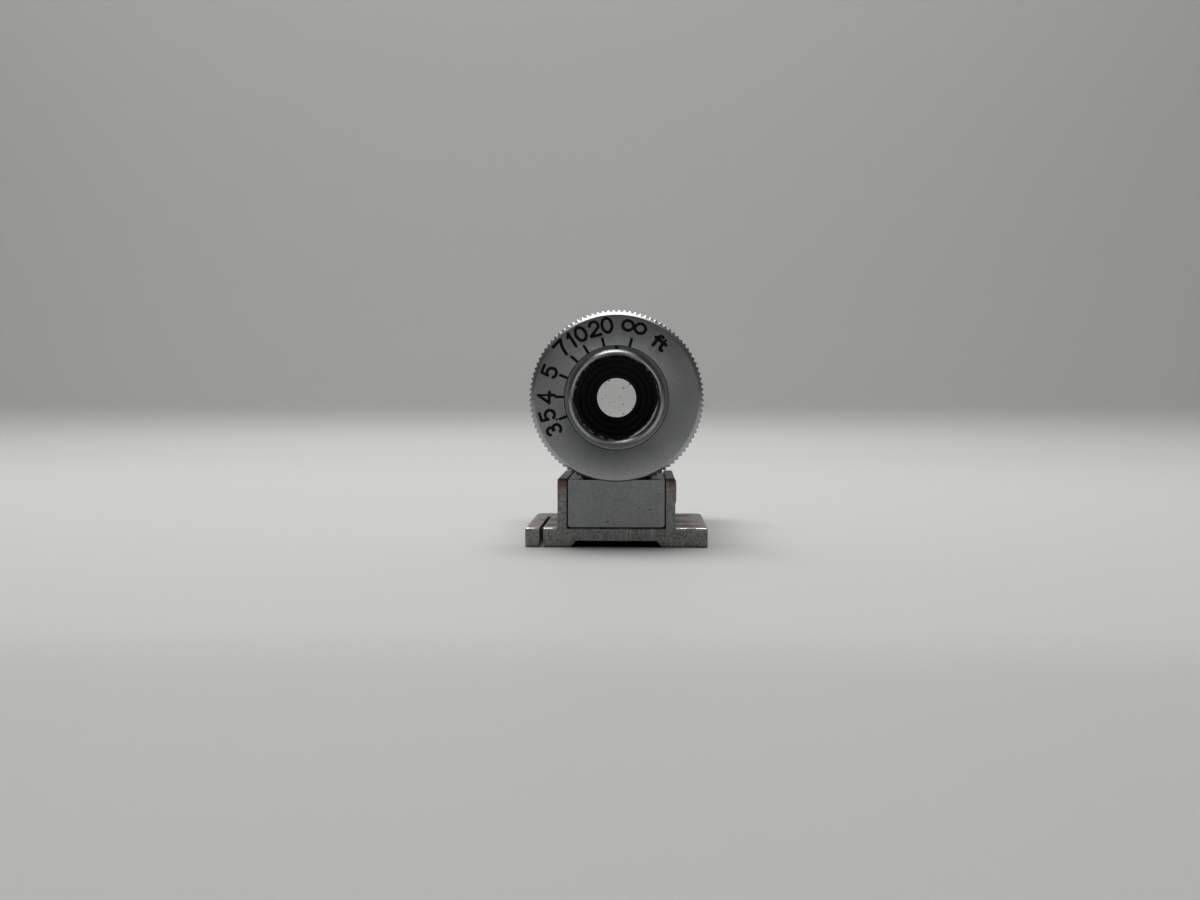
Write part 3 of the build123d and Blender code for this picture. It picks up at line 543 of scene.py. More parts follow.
# ---- Barrel and neck -------------------------------------------------------------------------------
# Brass tube, turned and satin chromed. Its skirt covers the cam, and the neck behind its web carries
# the dial and ends in a bright rim with bevelled lips. Fine turning lines run round it.
def eased(outline, arc_steps):
    """Rounds each (y, radius, ease) corner of a lathe outline with a short arc."""
    points = []
    for number, (y, radius, ease) in enumerate(outline):
        corner = Vector((y, radius))
        before = Vector(outline[number - 1][:2]) - corner
        after = Vector(outline[(number + 1) % len(outline)][:2]) - corner
        if not ease:
            points.append((y, radius))
            continue
        half = before.angle(after) / 2
        centre = corner + (before.normalized() + after.normalized()).normalized() * ease / sin(half)
        start = corner + before.normalized() * ease / tan(half) - centre
        end = corner + after.normalized() * ease / tan(half) - centre
        sweep = start.angle(end)
        for step in range(arc_steps + 1):
            part = step / arc_steps
            spoke = (start * sin((1 - part) * sweep) + end * sin(part * sweep)) / sin(sweep)
            points.append(tuple(centre + spoke))
    return points


def turned(name, outline, sides=256, arc_steps=3, capped=False):
    """A piece turned on the optical axis through (y, radius, ease) stations in millimetres."""
    stations = [(y / 1000, radius / 1000) for y, radius in eased(outline, arc_steps)]
    y, radius = stations[0]
    bpy.ops.object.select_all(action="DESELECT")
    bpy.ops.mesh.primitive_circle_add(vertices=sides, radius=radius, location=(0, y, axis_z),
                                      rotation=(pi / 2, 0, 0))
    piece = bpy.context.object
    piece.name = name
    bpy.context.tool_settings.mesh_select_mode = (False, True, False)
    bpy.ops.object.mode_set(mode="EDIT")
    bpy.ops.mesh.select_all(action="SELECT")
    for next_y, next_radius in stations[1:] + ([] if capped else stations[:1]):
        bpy.ops.mesh.extrude_region_move(TRANSFORM_OT_translate={"value": (0, next_y - y, 0)})
        grow = next_radius / radius
        bpy.ops.transform.resize(value=(grow, 1, grow), center_override=(0, next_y, axis_z))
        y, radius = next_y, next_radius
    if capped:
        bpy.ops.mesh.select_all(action="SELECT")
        bpy.ops.mesh.fill_holes(sides=0)
    bpy.ops.object.mode_set(mode="OBJECT")
    bpy.ops.object.transform_apply(location=True, rotation=True, scale=True)
    return piece


# turning: fine lines that run round the axis, on faces and on walls alike
turning, given, put = effect(
    "Turning lines",
    [("Vector", "Vector", (0, 0, 0)), ("Pitch", "Float", 0.00005), ("Waver", "Float", 0.5)],
    [("Height", "Float"), ("Radius", "Float"), ("Band", "Float")],
)
centred = shader(turning, "Mapping", {"Vector": given["Vector"], "Location": (0, 0, -axis_z)}).outputs[0]
parts = shader(turning, "SeparateXYZ", {0: centred}).outputs
flat = shader(turning, "CombineXYZ", {"X": parts["X"], "Z": parts["Z"]}).outputs[0]
radius_out = shader(turning, "VectorMath", {0: flat}, operation="LENGTH").outputs["Value"]
spoke = shader(turning, "VectorMath", {0: flat}, operation="NORMALIZE").outputs["Vector"]
spoke = shader(turning, "SeparateXYZ", {0: spoke}).outputs
across = sum_of(turning, "DIVIDE", sum_of(turning, "ADD", radius_out, parts["Y"]), given["Pitch"])
around_x = sum_of(turning, "MULTIPLY", spoke["X"], given["Waver"])
around_z = sum_of(turning, "MULTIPLY", spoke["Z"], given["Waver"])
lathe_space = shader(turning, "CombineXYZ", {"X": across, "Y": around_x, "Z": around_z}).outputs[0]
turning.links.new(shader(turning, "TexNoise", {"Vector": lathe_space, "Scale": 1.0, "Detail": 3.0,
                                               "Roughness": 0.7}).outputs[0], put["Height"])
turning.links.new(radius_out, put["Radius"])
broad = shader(turning, "CombineXYZ",
               {"X": sum_of(turning, "MULTIPLY", across, 0.09), "Y": around_x, "Z": around_z}).outputs[0]
turning.links.new(shader(turning, "TexNoise", {"Vector": broad, "Scale": 1.0, "Detail": 2.0}).outputs[0],
                  put["Band"])


# paint edge: where brushed paint ends in a ragged ring, reaching further out or in on one side
paint_edge, given, put = effect(
    "Paint edge",
    [("Vector", "Vector", (0, 0, 0)), ("Rim", "Float", 0.0043), ("Ragged", "Float", 0.0001),
     ("Lean", "Vector", (1, 0, 0)), ("Bite", "Float", 0.0)],
    [("Bare", "Float")],
)
ring = use(paint_edge, turning, {"Vector": given["Vector"]})["Radius"]
centred = shader(paint_edge, "Mapping", {"Vector": given["Vector"], "Location": (0, 0, -axis_z)}).outputs[0]
flat = shader(paint_edge, "VectorMath", {0: centred, 1: (1, 0, 1)}, operation="MULTIPLY").outputs["Vector"]
flat = shader(paint_edge, "VectorMath", {0: flat}, operation="NORMALIZE").outputs["Vector"]
leaning = between(paint_edge, shader(paint_edge, "VectorMath", {0: flat, 1: given["Lean"]},
                                     operation="DOT_PRODUCT").outputs["Value"], 0.80, 0.97)
brushed = shader(paint_edge, "TexNoise",
                 {"Vector": given["Vector"], "Scale": 1700.0, "Detail": 4.0, "Roughness": 0.6}).outputs[0]
brushed = sum_of(paint_edge, "MULTIPLY", sum_of(paint_edge, "SUBTRACT", brushed, 0.5),
                 sum_of(paint_edge, "MULTIPLY", given["Ragged"], 3.0))
edge_at = sum_of(paint_edge, "ADD", sum_of(paint_edge, "ADD", given["Rim"], brushed),
                 sum_of(paint_edge, "MULTIPLY", leaning, given["Bite"]))
paint_edge.links.new(between(paint_edge, sum_of(paint_edge, "SUBTRACT", ring, edge_at), -0.00001, 0.00001),
                     put["Bare"])


def chrome(name, dark, light, rough, lines, wear):
    """Satin chrome over turned brass: dark and light tones, roughness, depth of lines, edge wear."""
    finish, tree, body, place = new_finish(name)
    lathe = use(tree, turning, {"Vector": place, "Pitch": 0.00006, "Waver": 0.6})
    mottled = use(tree, mottle,
                  {"Vector": place, "Patch Scale": 240.0, "Speck Scale": 5200.0, "Speck Share": 0.1})
    metal = blend_colour(tree, mottled["Patches"], shade(dark, (0.965, 1.0, 1.0)),
                         shade(light, (0.975, 1.0, 0.995)))
    cloudy = use(tree, mottle,
                 {"Vector": place, "Patch Scale": 3800.0, "Speck Scale": 2200.0, "Speck Share": 0.09})
    metal = blend_colour(tree, sum_of(tree, "MULTIPLY", cloudy["Patches"], 0.6), metal,
                         shade(dark * 0.82, (0.97, 1.0, 1.0)))
    metal = blend_colour(tree, mottled["Specks"], metal, shade(dark * 0.55, (1.0, 0.96, 0.92)))
    metal = blend_colour(tree, sum_of(tree, "MULTIPLY", cloudy["Specks"], 0.6), metal,
                         shade(dark * 0.35, (1.0, 0.95, 0.92)))
    scored = use(tree, scratches, {"Vector": place, "Scale": 610.0, "Share": 0.10})
    metal = blend_colour(tree, scored["Mask"], metal, shade(0.6))
    bare = use(tree, edge_wear, {"Vector": place, "Reach": 0.00012, "Breakup": 0.45})["Mask"]
    metal = blend_colour(tree, sum_of(tree, "MULTIPLY", bare, wear), metal, shade(0.75))
    tree.links.new(metal, body.inputs["Base Color"])
    dull = sum_of(tree, "ADD", rough,
                  sum_of(tree, "MULTIPLY", sum_of(tree, "SUBTRACT", lathe["Band"], 0.5), 0.12))
    tree.links.new(sum_of(tree, "ADD", dull, sum_of(tree, "MULTIPLY", mottled["Patches"], 0.05)),
                   body.inputs["Roughness"])
    body.inputs["Metallic"].default_value = 1.0
    both = sum_of(tree, "ADD", lathe["Height"], sum_of(tree, "MULTIPLY", mottled["Height"], 0.35))
    raise_surface(tree, body, both, lines, 0.7)
    return finish, tree, body, place, metal


satin_chrome = chrome("satin_chrome", 0.40, 0.48, 0.36, 0.0000025, 0.4)[0]
rim_chrome, tree, body, place, metal = chrome("rim_chrome", 0.44, 0.54, 0.29, 0.0000024, 0.5)
bare = use(tree, paint_edge, {"Vector": place, "Rim": 0.00434, "Ragged": 0.00007, "Lean": (0.97, 0.0, 0.24),
                              "Bite": 0.00007})["Bare"]
behind = between(tree, shader(tree, "SeparateXYZ", {0: place}).outputs["Y"], -0.0094, -0.0092)
bare = sum_of(tree, "MULTIPLY", bare, sum_of(tree, "SUBTRACT", 1.0, behind))
inside = sum_of(tree, "GREATER_THAN", use(tree, turning, {"Vector": place})["Radius"], 0.0047)
bare = sum_of(tree, "MAXIMUM", bare, inside)
tree.links.new(blend_colour(tree, bare, shade(0.005), metal), body.inputs["Base Color"])
tree.links.new(bare, body.inputs["Metallic"])
body.inputs["Specular IOR Level"].default_value = 0.15

# lathe stations along the axis and radii, in millimetres
skirt_end, web_rear, web_front, tube_end, spigot_end = -5.55, -3.40, -2.40, 14.45, 18.45
tube_radius, skirt_bore, tube_bore, spigot_radius, web_hole = 8.0, 7.45, 6.8, 7.4, 3.08
barrel = turned("barrel_tube", [
    (web_rear, web_hole, 0), (web_rear, skirt_bore, 0),
    (skirt_end, skirt_bore, 0.04), (skirt_end, tube_radius, 0.08),
    (tube_end, tube_radius, 0.05), (tube_end, spigot_radius, 0),
    (spigot_end, spigot_radius, 0.05), (spigot_end, tube_bore, 0.05),
    (web_front, tube_bore, 0), (web_front, web_hole, 0.04),
], 320, 4)
close_up(barrel)
fit(barrel, "finder", "satin_chrome", satin_chrome, "barrel")
neck_rear, neck_radius, outer_bevel, inner_bevel = -9.75, 4.9, 0.3, 0.26
lens_back, lens_land, lens_seat, funnel_seat = -7.30, -5.76, 3.63, 4.3
neck = turned("neck_rim", [
    (neck_rear, funnel_seat + inner_bevel, 0.05), (neck_rear, 4.62, 0.04),
    (neck_rear + outer_bevel, neck_radius, 0.06), (web_rear, neck_radius, 0),
    (web_rear, web_hole, 0), (lens_land, web_hole, 0.03),
    (lens_land, lens_seat, 0), (lens_back, lens_seat, 0),
    (lens_back, funnel_seat, 0), (neck_rear + inner_bevel, funnel_seat, 0.04),
], 320, 4)
close_up(neck)
fit(neck, "finder", "satin_chrome", rim_chrome, "barrel")
refinish("stop_pin", screw_steel)

# ---- Dial ----------------------------------------------------------------------------------------
# Brass ring turned, straight-knurled and satin chromed, free to turn on the neck. Its scale is cut
# into the rear face with a round-nosed cutter and filled with black paint.
teeth, tooth_steps, knurl_tip, knurl_front_tip = 100, 8, 0.0089, 0.00878
# a tooth's flank: radius at the root, and one, two and three steps away from it
tooth_form = (0.0087, 0.00874, 0.00881, 0.00887)
tick_width, figure_width, unit_width, tick_end = 0.00030, 0.00033, 0.00037, 6.12
dial_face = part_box("parallax_dial")[0].y

dial_chrome = chrome("dial_chrome", 0.41, 0.47, 0.35, 0.0000015, 0.9)[0]
# lathe stations along the axis and radii, in millimetres
dial_rear, step_at, pocket_floor, front_bevel, dial_front = -9.25, -8.65, -8.45, -5.77, -5.65
face_radius, cone_radius, rim_radius, front_radius = 8.50, 8.70, 8.9, 8.78
pocket_radius, dial_bore, face_bevel, rear_cone = 5.33, 4.95, 0.14, 0.38
dial = turned("parallax_dial_ring", [
    (dial_rear, pocket_radius, 0.03), (dial_rear, face_radius - face_bevel, 0.20),
    (dial_rear + face_bevel, face_radius, 0.03), (step_at, face_radius, 0),
    (step_at, rim_radius - rear_cone, 0), (step_at + 0.18, cone_radius, 0),
    (step_at + rear_cone, rim_radius, 0), (front_bevel, rim_radius, 0),
    (dial_front, front_radius, 0), (dial_front, dial_bore, 0.03),
    (pocket_floor, dial_bore, 0.03), (pocket_floor, pocket_radius, 0),
], teeth * tooth_steps, 3)


def on_knurl(corner, radius, off_root):
    """Whether a corner lies on the rim at this radius, so many steps from a tooth's root."""
    out = sqrt(corner.x ** 2 + (corner.z - axis_z) ** 2)
    step = round(atan2(corner.x, corner.z - axis_z) / (2 * pi) * teeth * tooth_steps) % tooth_steps
    step = min(step, tooth_steps - step)
    return abs(out - radius) < 2e-6 and step == off_root and corner.y > knurl_rear - 0.00001


for off_root, radius in enumerate(tooth_form):
    for rim in (knurl_tip, knurl_front_tip):
        pick(dial, "VERT", lambda corner: on_knurl(corner, rim, off_root))
        if radius < rim:
            cut = radius / rim
            bpy.ops.transform.resize(value=(cut, 1, cut), center_override=(0, knurl_middle, axis_z))
bpy.ops.object.mode_set(mode="OBJECT")


def arc(middle, wide, high, start, end, steps=14):
    """Points round part of an oval, angles in degrees from the right, counter-clockwise."""
    turns = [radians(start + (end - start) * step / steps) for step in range(steps + 1)]
    return [(middle[0] + wide * cos(turn), middle[1] + high * sin(turn)) for turn in turns]


figures = {
    "0": [arc((0, 0), 0.50, 0.71, 90, 450, 36)],
    "1": [[(-0.27, 0.40), (-0.02, 0.72)], [(0.0, 0.74), (0.0, -0.74)]],
    "2": [arc((0, 0.27), 0.45, 0.45, 170, -28) + [(-0.46, -0.69)], [(-0.48, -0.71), (0.52, -0.71)]],
    "3": [arc((-0.02, 0.35), 0.38, 0.37, 150, -85), arc((-0.02, -0.31), 0.45, 0.41, 88, -150)],
    "4": [[(0.14, -0.80), (0.14, 0.84)], [(0.12, 0.84), (-0.62, -0.26)], [(-0.64, -0.28), (0.46, -0.28)]],
    "5": [[(0.42, 0.73), (-0.34, 0.73)], [(-0.35, 0.71), (-0.41, 0.06)],
          arc((-0.02, -0.24), 0.48, 0.48, 142, -145)],
    "7": [[(-0.52, 0.70), (0.50, 0.70)], [(0.50, 0.68), (0.16, 0.18), (-0.02, -0.24), (-0.12, -0.74)]],
    ".": [[(0, 0), (0, 0.02)]],
    "far": [arc((-0.64, 0), 0.54, 0.49, 48, 312, 24)
            + arc((0.64, 0), 0.54, 0.49, 132, -132, 24) + [(-0.279, 0.364)]],
    "f": [[(-0.06, -0.62), (-0.06, 0.30)] + arc((0.17, 0.32), 0.23, 0.24, 180, 60, 6),
          [(-0.30, 0.14), (0.22, 0.14)]],
    "t": [[(-0.04, 0.52), (-0.04, -0.34)] + arc((0.17, -0.36), 0.21, 0.22, 180, 300, 6),
          [(-0.30, 0.14), (0.26, 0.14)]],
}
# each mark: figure, radius and angle from the top (counter-clockwise), and the angle it stands at
marks = [("far", 7.36, -14.2, -14.6), ("2", 7.32, 17.7, 13.3), ("0", 7.38, 7.4, 12.0),
         ("1", 7.37, 37.4, 33.0), ("0", 7.38, 29.2, 31.0), ("7", 7.45, 47.6, 46.5),
         ("5", 7.25, 68.7, 68.1), ("4", 7.07, 89.0, 89.1),
         ("5", 7.2, 104.4, 108.0), (".", 6.42, 109.9, 110.6), ("3", 7.1, 117.2, 114.0),
         ("f", 7.15, -35.6, -38.4), ("t", 7.15, -41.2, -38.4)]
ticks = [-14.6, 13.3, 32.1, 47.5, 68.1, 89.1, 110.6]


def stroke(points, width, depth, sink):
    """A round-ended stroke on the dial's face, as cut by a round-nosed cutter, sunk by a little."""
    first, second, before_last, last = (Vector(points[number]) for number in (0, 1, -2, -1))
    bpy.ops.object.select_all(action="DESELECT")
    bpy.ops.curve.primitive_nurbs_path_add()
    curve = bpy.context.object.data
    curve.splines.clear()
    curve.bevel_depth, curve.bevel_resolution, curve.use_fill_caps = width / 2, 3, True
    run = []
    for turn in (90, 60, 30):
        tip = first + (first - second).normalized() * width / 2 * sin(radians(turn))
        run.append((tip, max(cos(radians(turn)), 0.05)))
    run += [(Vector(point), 1.0) for point in points]
    for turn in (30, 60, 90):
        tip = last + (last - before_last).normalized() * width / 2 * sin(radians(turn))
        run.append((tip, max(cos(radians(turn)), 0.05)))
    line = curve.splines.new("POLY")
    line.points.add(len(run) - 1)
    for knot, (at, thick) in zip(line.points, run):
        knot.co, knot.radius = (at.x, 0, at.y, 1), thick
    bpy.ops.object.convert(target="MESH")
    made = bpy.context.object
    made.scale = (1, depth / (width / 2), 1)
    made.location = (0, dial_face + sink, 0)
    bpy.ops.object.transform_apply(location=True, rotation=True, scale=True)
    return made


def scale_strokes(depth, sink, swell, tick_foot):
    """All ticks and all figures of the scale, as two lists of stroke pieces."""
    tick_strokes, figure_strokes = [], []
    for angle in ticks:
        outward = Vector((-sin(radians(angle)), cos(radians(angle))))
        ends = [outward * radius / 1000 + Vector((0, axis_z)) for radius in (tick_foot, tick_end)]
        tick_strokes.append(stroke(ends, tick_width + swell, depth, sink))
    for name, radius, angle, stand in marks:
        middle = Vector((-sin(radians(angle)), cos(radians(angle)))) * radius / 1000 + Vector((0, axis_z))
        right = Vector((cos(radians(stand)), sin(radians(stand))))
        up = Vector((-sin(radians(stand)), cos(radians(stand))))
        width = unit_width if name in ("f", "t", ".") else figure_width
        for points in figures[name]:
            placed = [middle + right * x / 1000 + up * z / 1000 for x, z in points]
            figure_strokes.append(stroke(placed, width + swell, depth, sink))
    return tick_strokes, figure_strokes


def joined(name, pieces):
    """One piece from several."""
    bpy.ops.object.select_all(action="DESELECT")
    for piece in pieces:
        piece.select_set(True)
    bpy.context.view_layer.objects.active = pieces[0]
    bpy.ops.object.join()
    bpy.context.object.name = name
    return bpy.context.object


cut_depth, cut_tick_foot = 0.00006, 5.30
paint_depth, paint_sink, paint_spread, paint_tick_foot = 0.00005, 0.000036, 0.000012, 5.475
cutters = scale_strokes(cut_depth, 0.0, 0.0, cut_tick_foot)
cut_away(dial, joined("cutters", cutters[0] + cutters[1]), True)
close_up(dial, 28)
fit(dial, "dial", "satin_chrome", dial_chrome, "parallax_dial")

scale_paint, tree, body, place = new_finish("scale_paint")
mottled = use(tree, mottle,
              {"Vector": place, "Patch Scale": 1800.0, "Speck Scale": 9000.0, "Speck Share": 0.1})
tree.links.new(blend_colour(tree, mottled["Patches"], shade(0.002), shade(0.006)),
               body.inputs["Base Color"])
body.inputs["Specular IOR Level"].default_value = 0.15
tree.links.new(sum_of(tree, "ADD", 0.42, sum_of(tree, "MULTIPLY", mottled["Patches"], 0.2)),
               body.inputs["Roughness"])
raise_surface(tree, body, mottled["Height"], 0.000004, 0.6)
ticks_paint, figures_paint = scale_strokes(paint_depth, paint_sink, paint_spread, paint_tick_foot)
for name, pieces in (("scale_ticks", ticks_paint), ("scale_figures", figures_paint)):
    paint = joined(name, pieces)
    close_up(paint, 40)
    fit(paint, "dial", "black_lacquer", scale_paint)

# ---- Cam, its screws and the follower ------------------------------------------------------------
# Snail cam of turned brass on the dial's front, three steel screws in it, and the steel follower pin
# that the cam presses onto the floor of the channel.
turned_brass, tree, body, place = new_finish("turned_brass")
lathe = use(tree, turning, {"Vector": place, "Pitch": 0.00007, "Waver": 0.6})
mottled = use(tree, mottle,
              {"Vector": place, "Patch Scale": 700.0, "Speck Scale": 5000.0, "Speck Share": 0.3})
metal = blend_colour(tree, mottled["Patches"], (0.42, 0.28, 0.11, 1), (0.58, 0.42, 0.18, 1))
metal = blend_colour(tree, mottled["Specks"], metal, (0.16, 0.09, 0.04, 1))
tree.links.new(metal, body.inputs["Base Color"])
tree.links.new(sum_of(tree, "ADD", 0.28, sum_of(tree, "MULTIPLY", mottled["Patches"], 0.15)),
               body.inputs["Roughness"])
body.inputs["Metallic"].default_value = 1.0
raise_surface(tree, body, lathe["Height"], 0.000003, 0.6)
refinish("parallax_cam", turned_brass)
refinish("cam_screws", screw_steel)
refinish("cam_follower", screw_steel)

# ---- Index collar and friction washer --------------------------------------------------------------
# Threaded chromed ring that holds the dial on, sunk in the dial's pocket, with a painted index dot cut
# in its face. A coned spring washer under it gives the dial its stiffness.
dot_z, dot_hole, dot_radius, dot_depth = axis_z + 0.0051, 0.000165, 0.000178, 0.00010
dot_y = -0.00896
collar_chrome = chrome("collar_chrome", 0.30, 0.37, 0.34, 0.0000030, 0.7)[0]
collar_rear, collar_front, collar_bore, collar_radius = -9.0, -8.62, 4.92, 5.28
collar = turned("index_collar_ring", [
    (collar_rear, collar_bore, 0.02), (collar_rear, collar_radius, 0.03),
    (collar_front, collar_radius, 0.02), (collar_front, collar_bore, 0.02),
], 256, 3)
drill(collar, (0, -0.0096, dot_z), (0, -0.0089, dot_z), dot_hole, 48)
close_up(collar)
fit(collar, "finder", "satin_chrome", collar_chrome, "index_collar")
bpy.ops.object.select_all(action="DESELECT")
bpy.ops.mesh.primitive_cylinder_add(vertices=48, radius=dot_radius, depth=dot_depth,
                                    location=(0, dot_y, dot_z),
                                    rotation=(pi / 2, 0, 0))
dot = start_piece("index_dot")
pick(dot, "FACE", lambda c, n: n.y < -0.9)
bpy.ops.mesh.inset(thickness=0.00006)
bpy.ops.mesh.extrude_region_move(TRANSFORM_OT_translate={"value": (0, -0.00001, 0)})
bpy.ops.object.mode_set(mode="OBJECT")
ease_edges(dot, 0.000012, 3, 25)
close_up(dot)
fit(dot, "finder", "black_lacquer", scale_paint)
refinish("friction_washer", spring_steel)

# ---- Eyepiece funnel and eye lens --------------------------------------------------------------------
# Blackened ring with three tapered steps down to the eye hole, its paint chipped to the metal at the
# rim, and behind it a small dished lens with a little dust on it.
black_lacquer, tree, body, place = new_finish("black_lacquer")
lathe = use(tree, turning, {"Vector": place, "Pitch": 0.00008, "Waver": 0.6})
mottled = use(tree, mottle,
              {"Vector": place, "Patch Scale": 900.0, "Speck Scale": 7000.0, "Speck Share": 0.2})
paint = blend_colour(tree, mottled["Patches"], shade(0.0025), shade(0.007, (0.95, 1.0, 1.0)))
paint = blend_colour(tree, mottled["Specks"], paint, shade(0.02))
chips = use(tree, paint_edge, {"Vector": place, "Rim": 0.00424, "Ragged": 0.00012,
                               "Lean": (0.78, 0.0, -0.62), "Bite": -0.00019})["Bare"]
chips = sum_of(tree, "MULTIPLY", chips,
               between(tree, shader(tree, "SeparateXYZ", {0: place}).outputs["Y"], -0.0090, -0.0092))
tree.links.new(blend_colour(tree, chips, paint, shade(0.55)), body.inputs["Base Color"])
tree.links.new(chips, body.inputs["Metallic"])
tree.links.new(sum_of(tree, "ADD", 0.36, sum_of(tree, "MULTIPLY", mottled["Patches"], 0.16)),
               body.inputs["Roughness"])
body.inputs["Specular IOR Level"].default_value = 0.12
raise_surface(tree, body, sum_of(tree, "ADD", lathe["Height"],
                                 sum_of(tree, "MULTIPLY", mottled["Height"], 0.5)), 0.000003, 0.7)

funnel_rear, funnel_radius, eye_hole, step_length = -9.40, 4.28, 2.0, 0.5
stations = [(funnel_rear, funnel_radius, 0.04)]
for wide, narrow in ((3.78, 3.66), (3.187, 3.067), (2.593, 2.473)):
    y = funnel_rear + step_length * (len(stations) // 2)
    stations += [(y, wide, 0.05), (y + step_length, narrow, 0)]
stations += [(y + step_length, eye_hole, 0.06), (lens_back, eye_hole, 0), (lens_back, funnel_radius, 0)]
funnel = turned("eye_funnel", stations, 256, 3)
close_up(funnel)
fit(funnel, "finder", "black_lacquer", black_lacquer, "eyepiece_funnel")

coated_glass, tree, body, place = new_finish("coated_glass")
dust = use(tree, dots, {"Vector": place, "Scale": 1400.0, "Share": 0.85, "Size": 0.23})["Mask"]
tree.links.new(blend_colour(tree, dust, shade(1.0, (0.985, 0.99, 1.0)), shade(0.2)),
               body.inputs["Base Color"])
tree.links.new(sum_of(tree, "MULTIPLY", dust, 0.15), body.inputs["Roughness"])
body.inputs["Transmission Weight"].default_value = 1.0
body.inputs["IOR"].default_value = 1.52
body.inputs["Thin Film Thickness"].default_value = 110.0
body.inputs["Thin Film IOR"].default_value = 1.38


def dished(edge_y, edge_radius, curve, steps, bulge):
    """Lathe stations of a shallow spherical face, from its edge to its middle."""
    drop = sqrt(curve ** 2 - edge_radius ** 2)
    stations = []
    for step in range(steps):
        radius = edge_radius * (1 - step / steps)
        stations.append((edge_y + bulge * (sqrt(curve ** 2 - radius ** 2) - drop), radius, 0))
    return stations


eye_rear, eye_front, eye_radius, eye_curve = -7.28, -5.78, 3.58, 33.0
eye_glass = turned("eye_glass", [
    (eye_rear, 0.2, 0), (eye_rear, eye_radius - 0.08, 0), (eye_rear + 0.08, eye_radius, 0),
    (eye_front - 0.06, eye_radius, 0), (eye_front, eye_radius - 0.06, 0),
] + dished(eye_front, web_hole, eye_curve, 20, -1), 192, 3, True)
close_up(eye_glass, 30, False)
fit(eye_glass, "finder", "coated_glass", coated_glass, "eye_lens")

# ---- Baffle tube and field mask ----------------------------------------------------------------------
# Ridged liner that swallows stray light, and a thin plate with the rectangular opening that frames the
# view. Both are brass, painted matt black inside.
matt_black, tree, body, place = new_finish("matt_black")
mottled = use(tree, mottle,
              {"Vector": place, "Patch Scale": 1100.0, "Speck Scale": 8000.0, "Speck Share": 0.3})
paint = blend_colour(tree, mottled["Patches"], shade(0.004), shade(0.010))
tree.links.new(blend_colour(tree, mottled["Specks"], paint, shade(0.025)), body.inputs["Base Color"])
tree.links.new(sum_of(tree, "ADD", 0.62, sum_of(tree, "MULTIPLY", mottled["Patches"], 0.2)),
               body.inputs["Roughness"])
raise_surface(tree, body, mottled["Height"], 0.000008, 0.7)
refinish("baffle_tube", matt_black)
refinish("field_mask", matt_black)

# ---- Objective lens and its ring ---------------------------------------------------------------------
# Bulging front lens on the bell's shoulder, held by a blackened threaded ring with two spanner notches.
shoulder, glass_front, glass_radius, clear_radius, glass_curve = 19.49, 21.09, 8.0, 7.05, 46.0
front_glass = turned("front_glass", [
    (shoulder, 0.2, 0), (shoulder, glass_radius - 0.1, 0), (shoulder + 0.1, glass_radius, 0),
    (glass_front - 0.04, glass_radius, 0), (glass_front, glass_radius - 0.04, 0),
] + dished(glass_front, clear_radius, glass_curve, 32, 1), 256, 3, True)
close_up(front_glass, 30, False)
fit(front_glass, "finder", "coated_glass", coated_glass, "objective_lens")

ring_rear, ring_front, ring_radius, ring_bevel = 21.11, 22.36, 8.03, 0.3
notch_floor, notch_half = 0.02186, 0.0004
lens_ring = turned("front_lens_ring", [
    (ring_rear, clear_radius, 0.03), (ring_rear, ring_radius, 0.03), (ring_front, ring_radius, 0.04),
    (ring_front, clear_radius + ring_bevel, 0.05), (ring_front - ring_bevel, clear_radius, 0.05),
], 256, 3)
notches = add_block("notches", (-0.009, notch_floor, axis_z - notch_half),
                    (0.009, 0.0230, axis_z + notch_half))
bpy.ops.object.mode_set(mode="OBJECT")
cut_away(lens_ring, notches)
close_up(lens_ring)
fit(lens_ring, "finder", "black_lacquer", black_lacquer, "objective_ring")

# ---- Front bell and its set screws -------------------------------------------------------------------
# Flared hood of turned brass, satin chromed outside and blackened inside, screwed on the barrel's
# spigot and locked by three slotted grub screws. A narrow groove runs round it near the rim.
set_screw_y, set_screw_hole, hood_bore = 0.01532, 0.00052, 0.00847
bell_rear, cone_start, cone_end, bell_end = 14.47, 16.17, 18.57, 26.05
groove_rear, groove_front, groove_floor = 24.35, 24.75, 9.15
bell_radius, rim_bevel, mouth, seat = 9.3, 0.35, 8.45, 8.05
spigot_bore, spigot_stop, cone_round = 7.42, 18.89, 2.0
bell = turned("front_hood", [
    (bell_rear, spigot_bore, 0), (bell_rear, tube_radius, 0.06),
    (cone_start, tube_radius, cone_round), (cone_end, bell_radius, cone_round),
    (groove_rear, bell_radius, 0.04), (groove_rear, groove_floor, 0.03),
    (groove_front, groove_floor, 0.03), (groove_front, bell_radius, 0.04),
    (bell_end - rim_bevel, bell_radius, 0.08), (bell_end, bell_radius - rim_bevel, 0.08),
    (bell_end, mouth, 0.06), (ring_front + 0.4, mouth, 0.05), (ring_front, seat, 0.03), (shoulder, seat, 0),
    (shoulder, tube_bore, 0.04), (spigot_stop, tube_bore, 0.04), (spigot_stop, spigot_bore, 0),
], 320, 5)
for angle in (180, 300, 60):
    outward = Vector((sin(radians(angle)), 0, cos(radians(angle))))
    middle = Vector((0, set_screw_y, axis_z))
    drill(bell, middle + outward * 0.0070, middle + outward * 0.0090, set_screw_hole, 48)
close_up(bell)
fit(bell, "finder", "satin_chrome", satin_chrome, "front_bell")
bell.data.materials.append(black_lacquer)
for face in bell.data.polygons:
    out = sqrt(face.center.x ** 2 + (face.center.z - axis_z) ** 2)
    if out < hood_bore and face.center.y > 0.0185:
        face.material_index = 1
refinish("bell_set_screws", screw_steel)
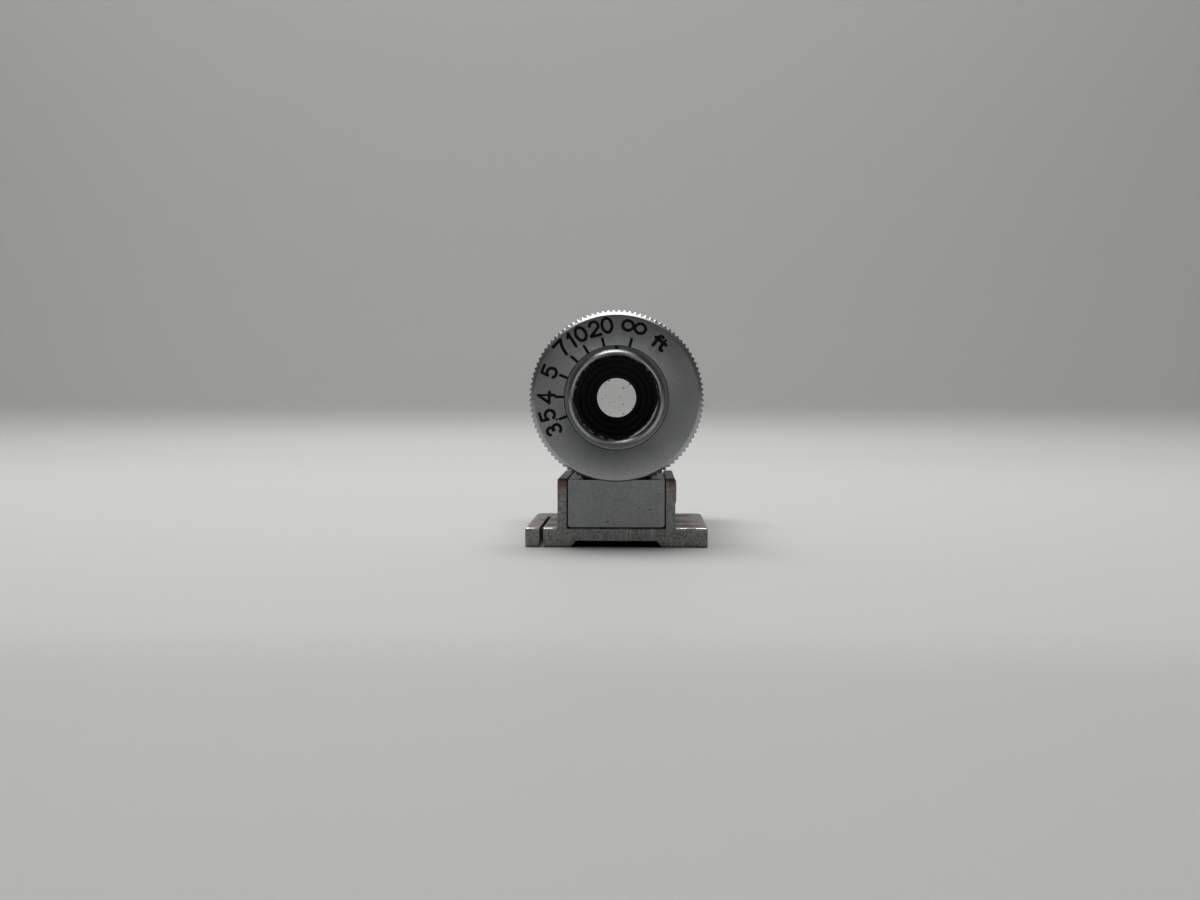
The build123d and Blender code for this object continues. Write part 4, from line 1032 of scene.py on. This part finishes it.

# ---- Floor, backdrop, lights and camera ----------------------------------------------------------------
# Pale matt table that curves up into a pale wall, with a soft shadow painted across the table nearer
# the camera, one large soft light overhead and behind, a weak even fill, and the camera low behind the eye
# end.
paper_and_painted_shadow, tree, body, place = new_finish("paper_and_painted_shadow")
height = shader(tree, "SeparateXYZ", {0: place}).outputs["Z"]
grain = shader(tree, "TexNoise", {"Vector": place, "Scale": 900.0, "Detail": 3.0}).outputs[0]
# painted shadow: the table darkens from 56 mm to 78 mm in front of the finder, as a soft shadow falling
# across it; 0.60 is the shadowed tone, 0.68 the lit one
painted_shadow = between(tree, shader(tree, "SeparateXYZ", {0: place}).outputs["Y"], -0.056, -0.078)
tone_and_painted_shadow = blend_colour(tree, painted_shadow, shade(0.68, (1.0, 1.0, 0.985)), shade(0.60, (1.0, 1.0, 0.985)))
tone_and_painted_shadow = blend_colour(tree, between(tree, height, 0.0, 0.02), tone_and_painted_shadow, shade(0.66, (1.0, 1.0, 0.97)))
tree.links.new(tone_and_painted_shadow, body.inputs["Base Color"])
body.inputs["Roughness"].default_value = 0.55
body.inputs["Specular IOR Level"].default_value = 0.3
raise_surface(tree, body, grain, 0.00002, 0.15)
bpy.ops.object.select_all(action="DESELECT")
table_front, table_back, table_width, wall_height, wall_sweep = -0.8, 0.235, 2.4, 0.9, 0.012
bpy.ops.mesh.primitive_plane_add(size=1, location=(0, (table_front + table_back) / 2, 0))
bpy.context.object.scale = (table_width, table_back - table_front, 1)
backdrop = start_piece("backdrop")
pick(backdrop, "EDGE", lambda a, b: min(a.y, b.y) > 0.2)
bpy.ops.mesh.extrude_region_move(TRANSFORM_OT_translate={"value": (0, 0, wall_height)})
pick(backdrop, "EDGE", lambda a, b: min(a.y, b.y) > 0.2 and max(a.z, b.z) < 0.01)
bpy.ops.mesh.bevel(offset=wall_sweep, segments=16, affect="EDGES")
bpy.ops.object.mode_set(mode="OBJECT")
bpy.ops.object.shade_smooth_by_angle(angle=radians(30))
backdrop.data.materials.append(paper_and_painted_shadow)


def soft_light(name, at, towards, wide, power):
    """A square area light aimed at a point."""
    bpy.ops.object.select_all(action="DESELECT")
    bpy.ops.object.light_add(type="AREA", location=at)
    lamp = bpy.context.object
    lamp.name = name
    lamp.data.size, lamp.data.energy = wide, power
    lamp.rotation_euler = (Vector(towards) - Vector(at)).to_track_quat("-Z", "Y").to_euler()


soft_light("overhead", (-0.04, 0.145, 0.44), (0, 0.03, 0), 0.36, 2.42)
bpy.context.scene.world = bpy.data.worlds.new("room")
bpy.context.scene.world.use_nodes = True
room = bpy.context.scene.world.node_tree.nodes["Background"]
room.inputs["Color"].default_value = (0.97, 1.0, 0.985, 1)
room.inputs["Strength"].default_value = 0.075
bpy.context.scene.view_settings.view_transform = "Standard"

bpy.ops.object.camera_add(location=(0.0026, -0.155, 0.0159),
                          rotation=(radians(90 - 2.35), 0, radians(1.67)))
camera = bpy.context.object
camera.data.lens, camera.data.sensor_width = 43.2, 36.0
camera.data.clip_start, camera.data.clip_end = 0.005, 10.0
bpy.context.scene.camera = camera
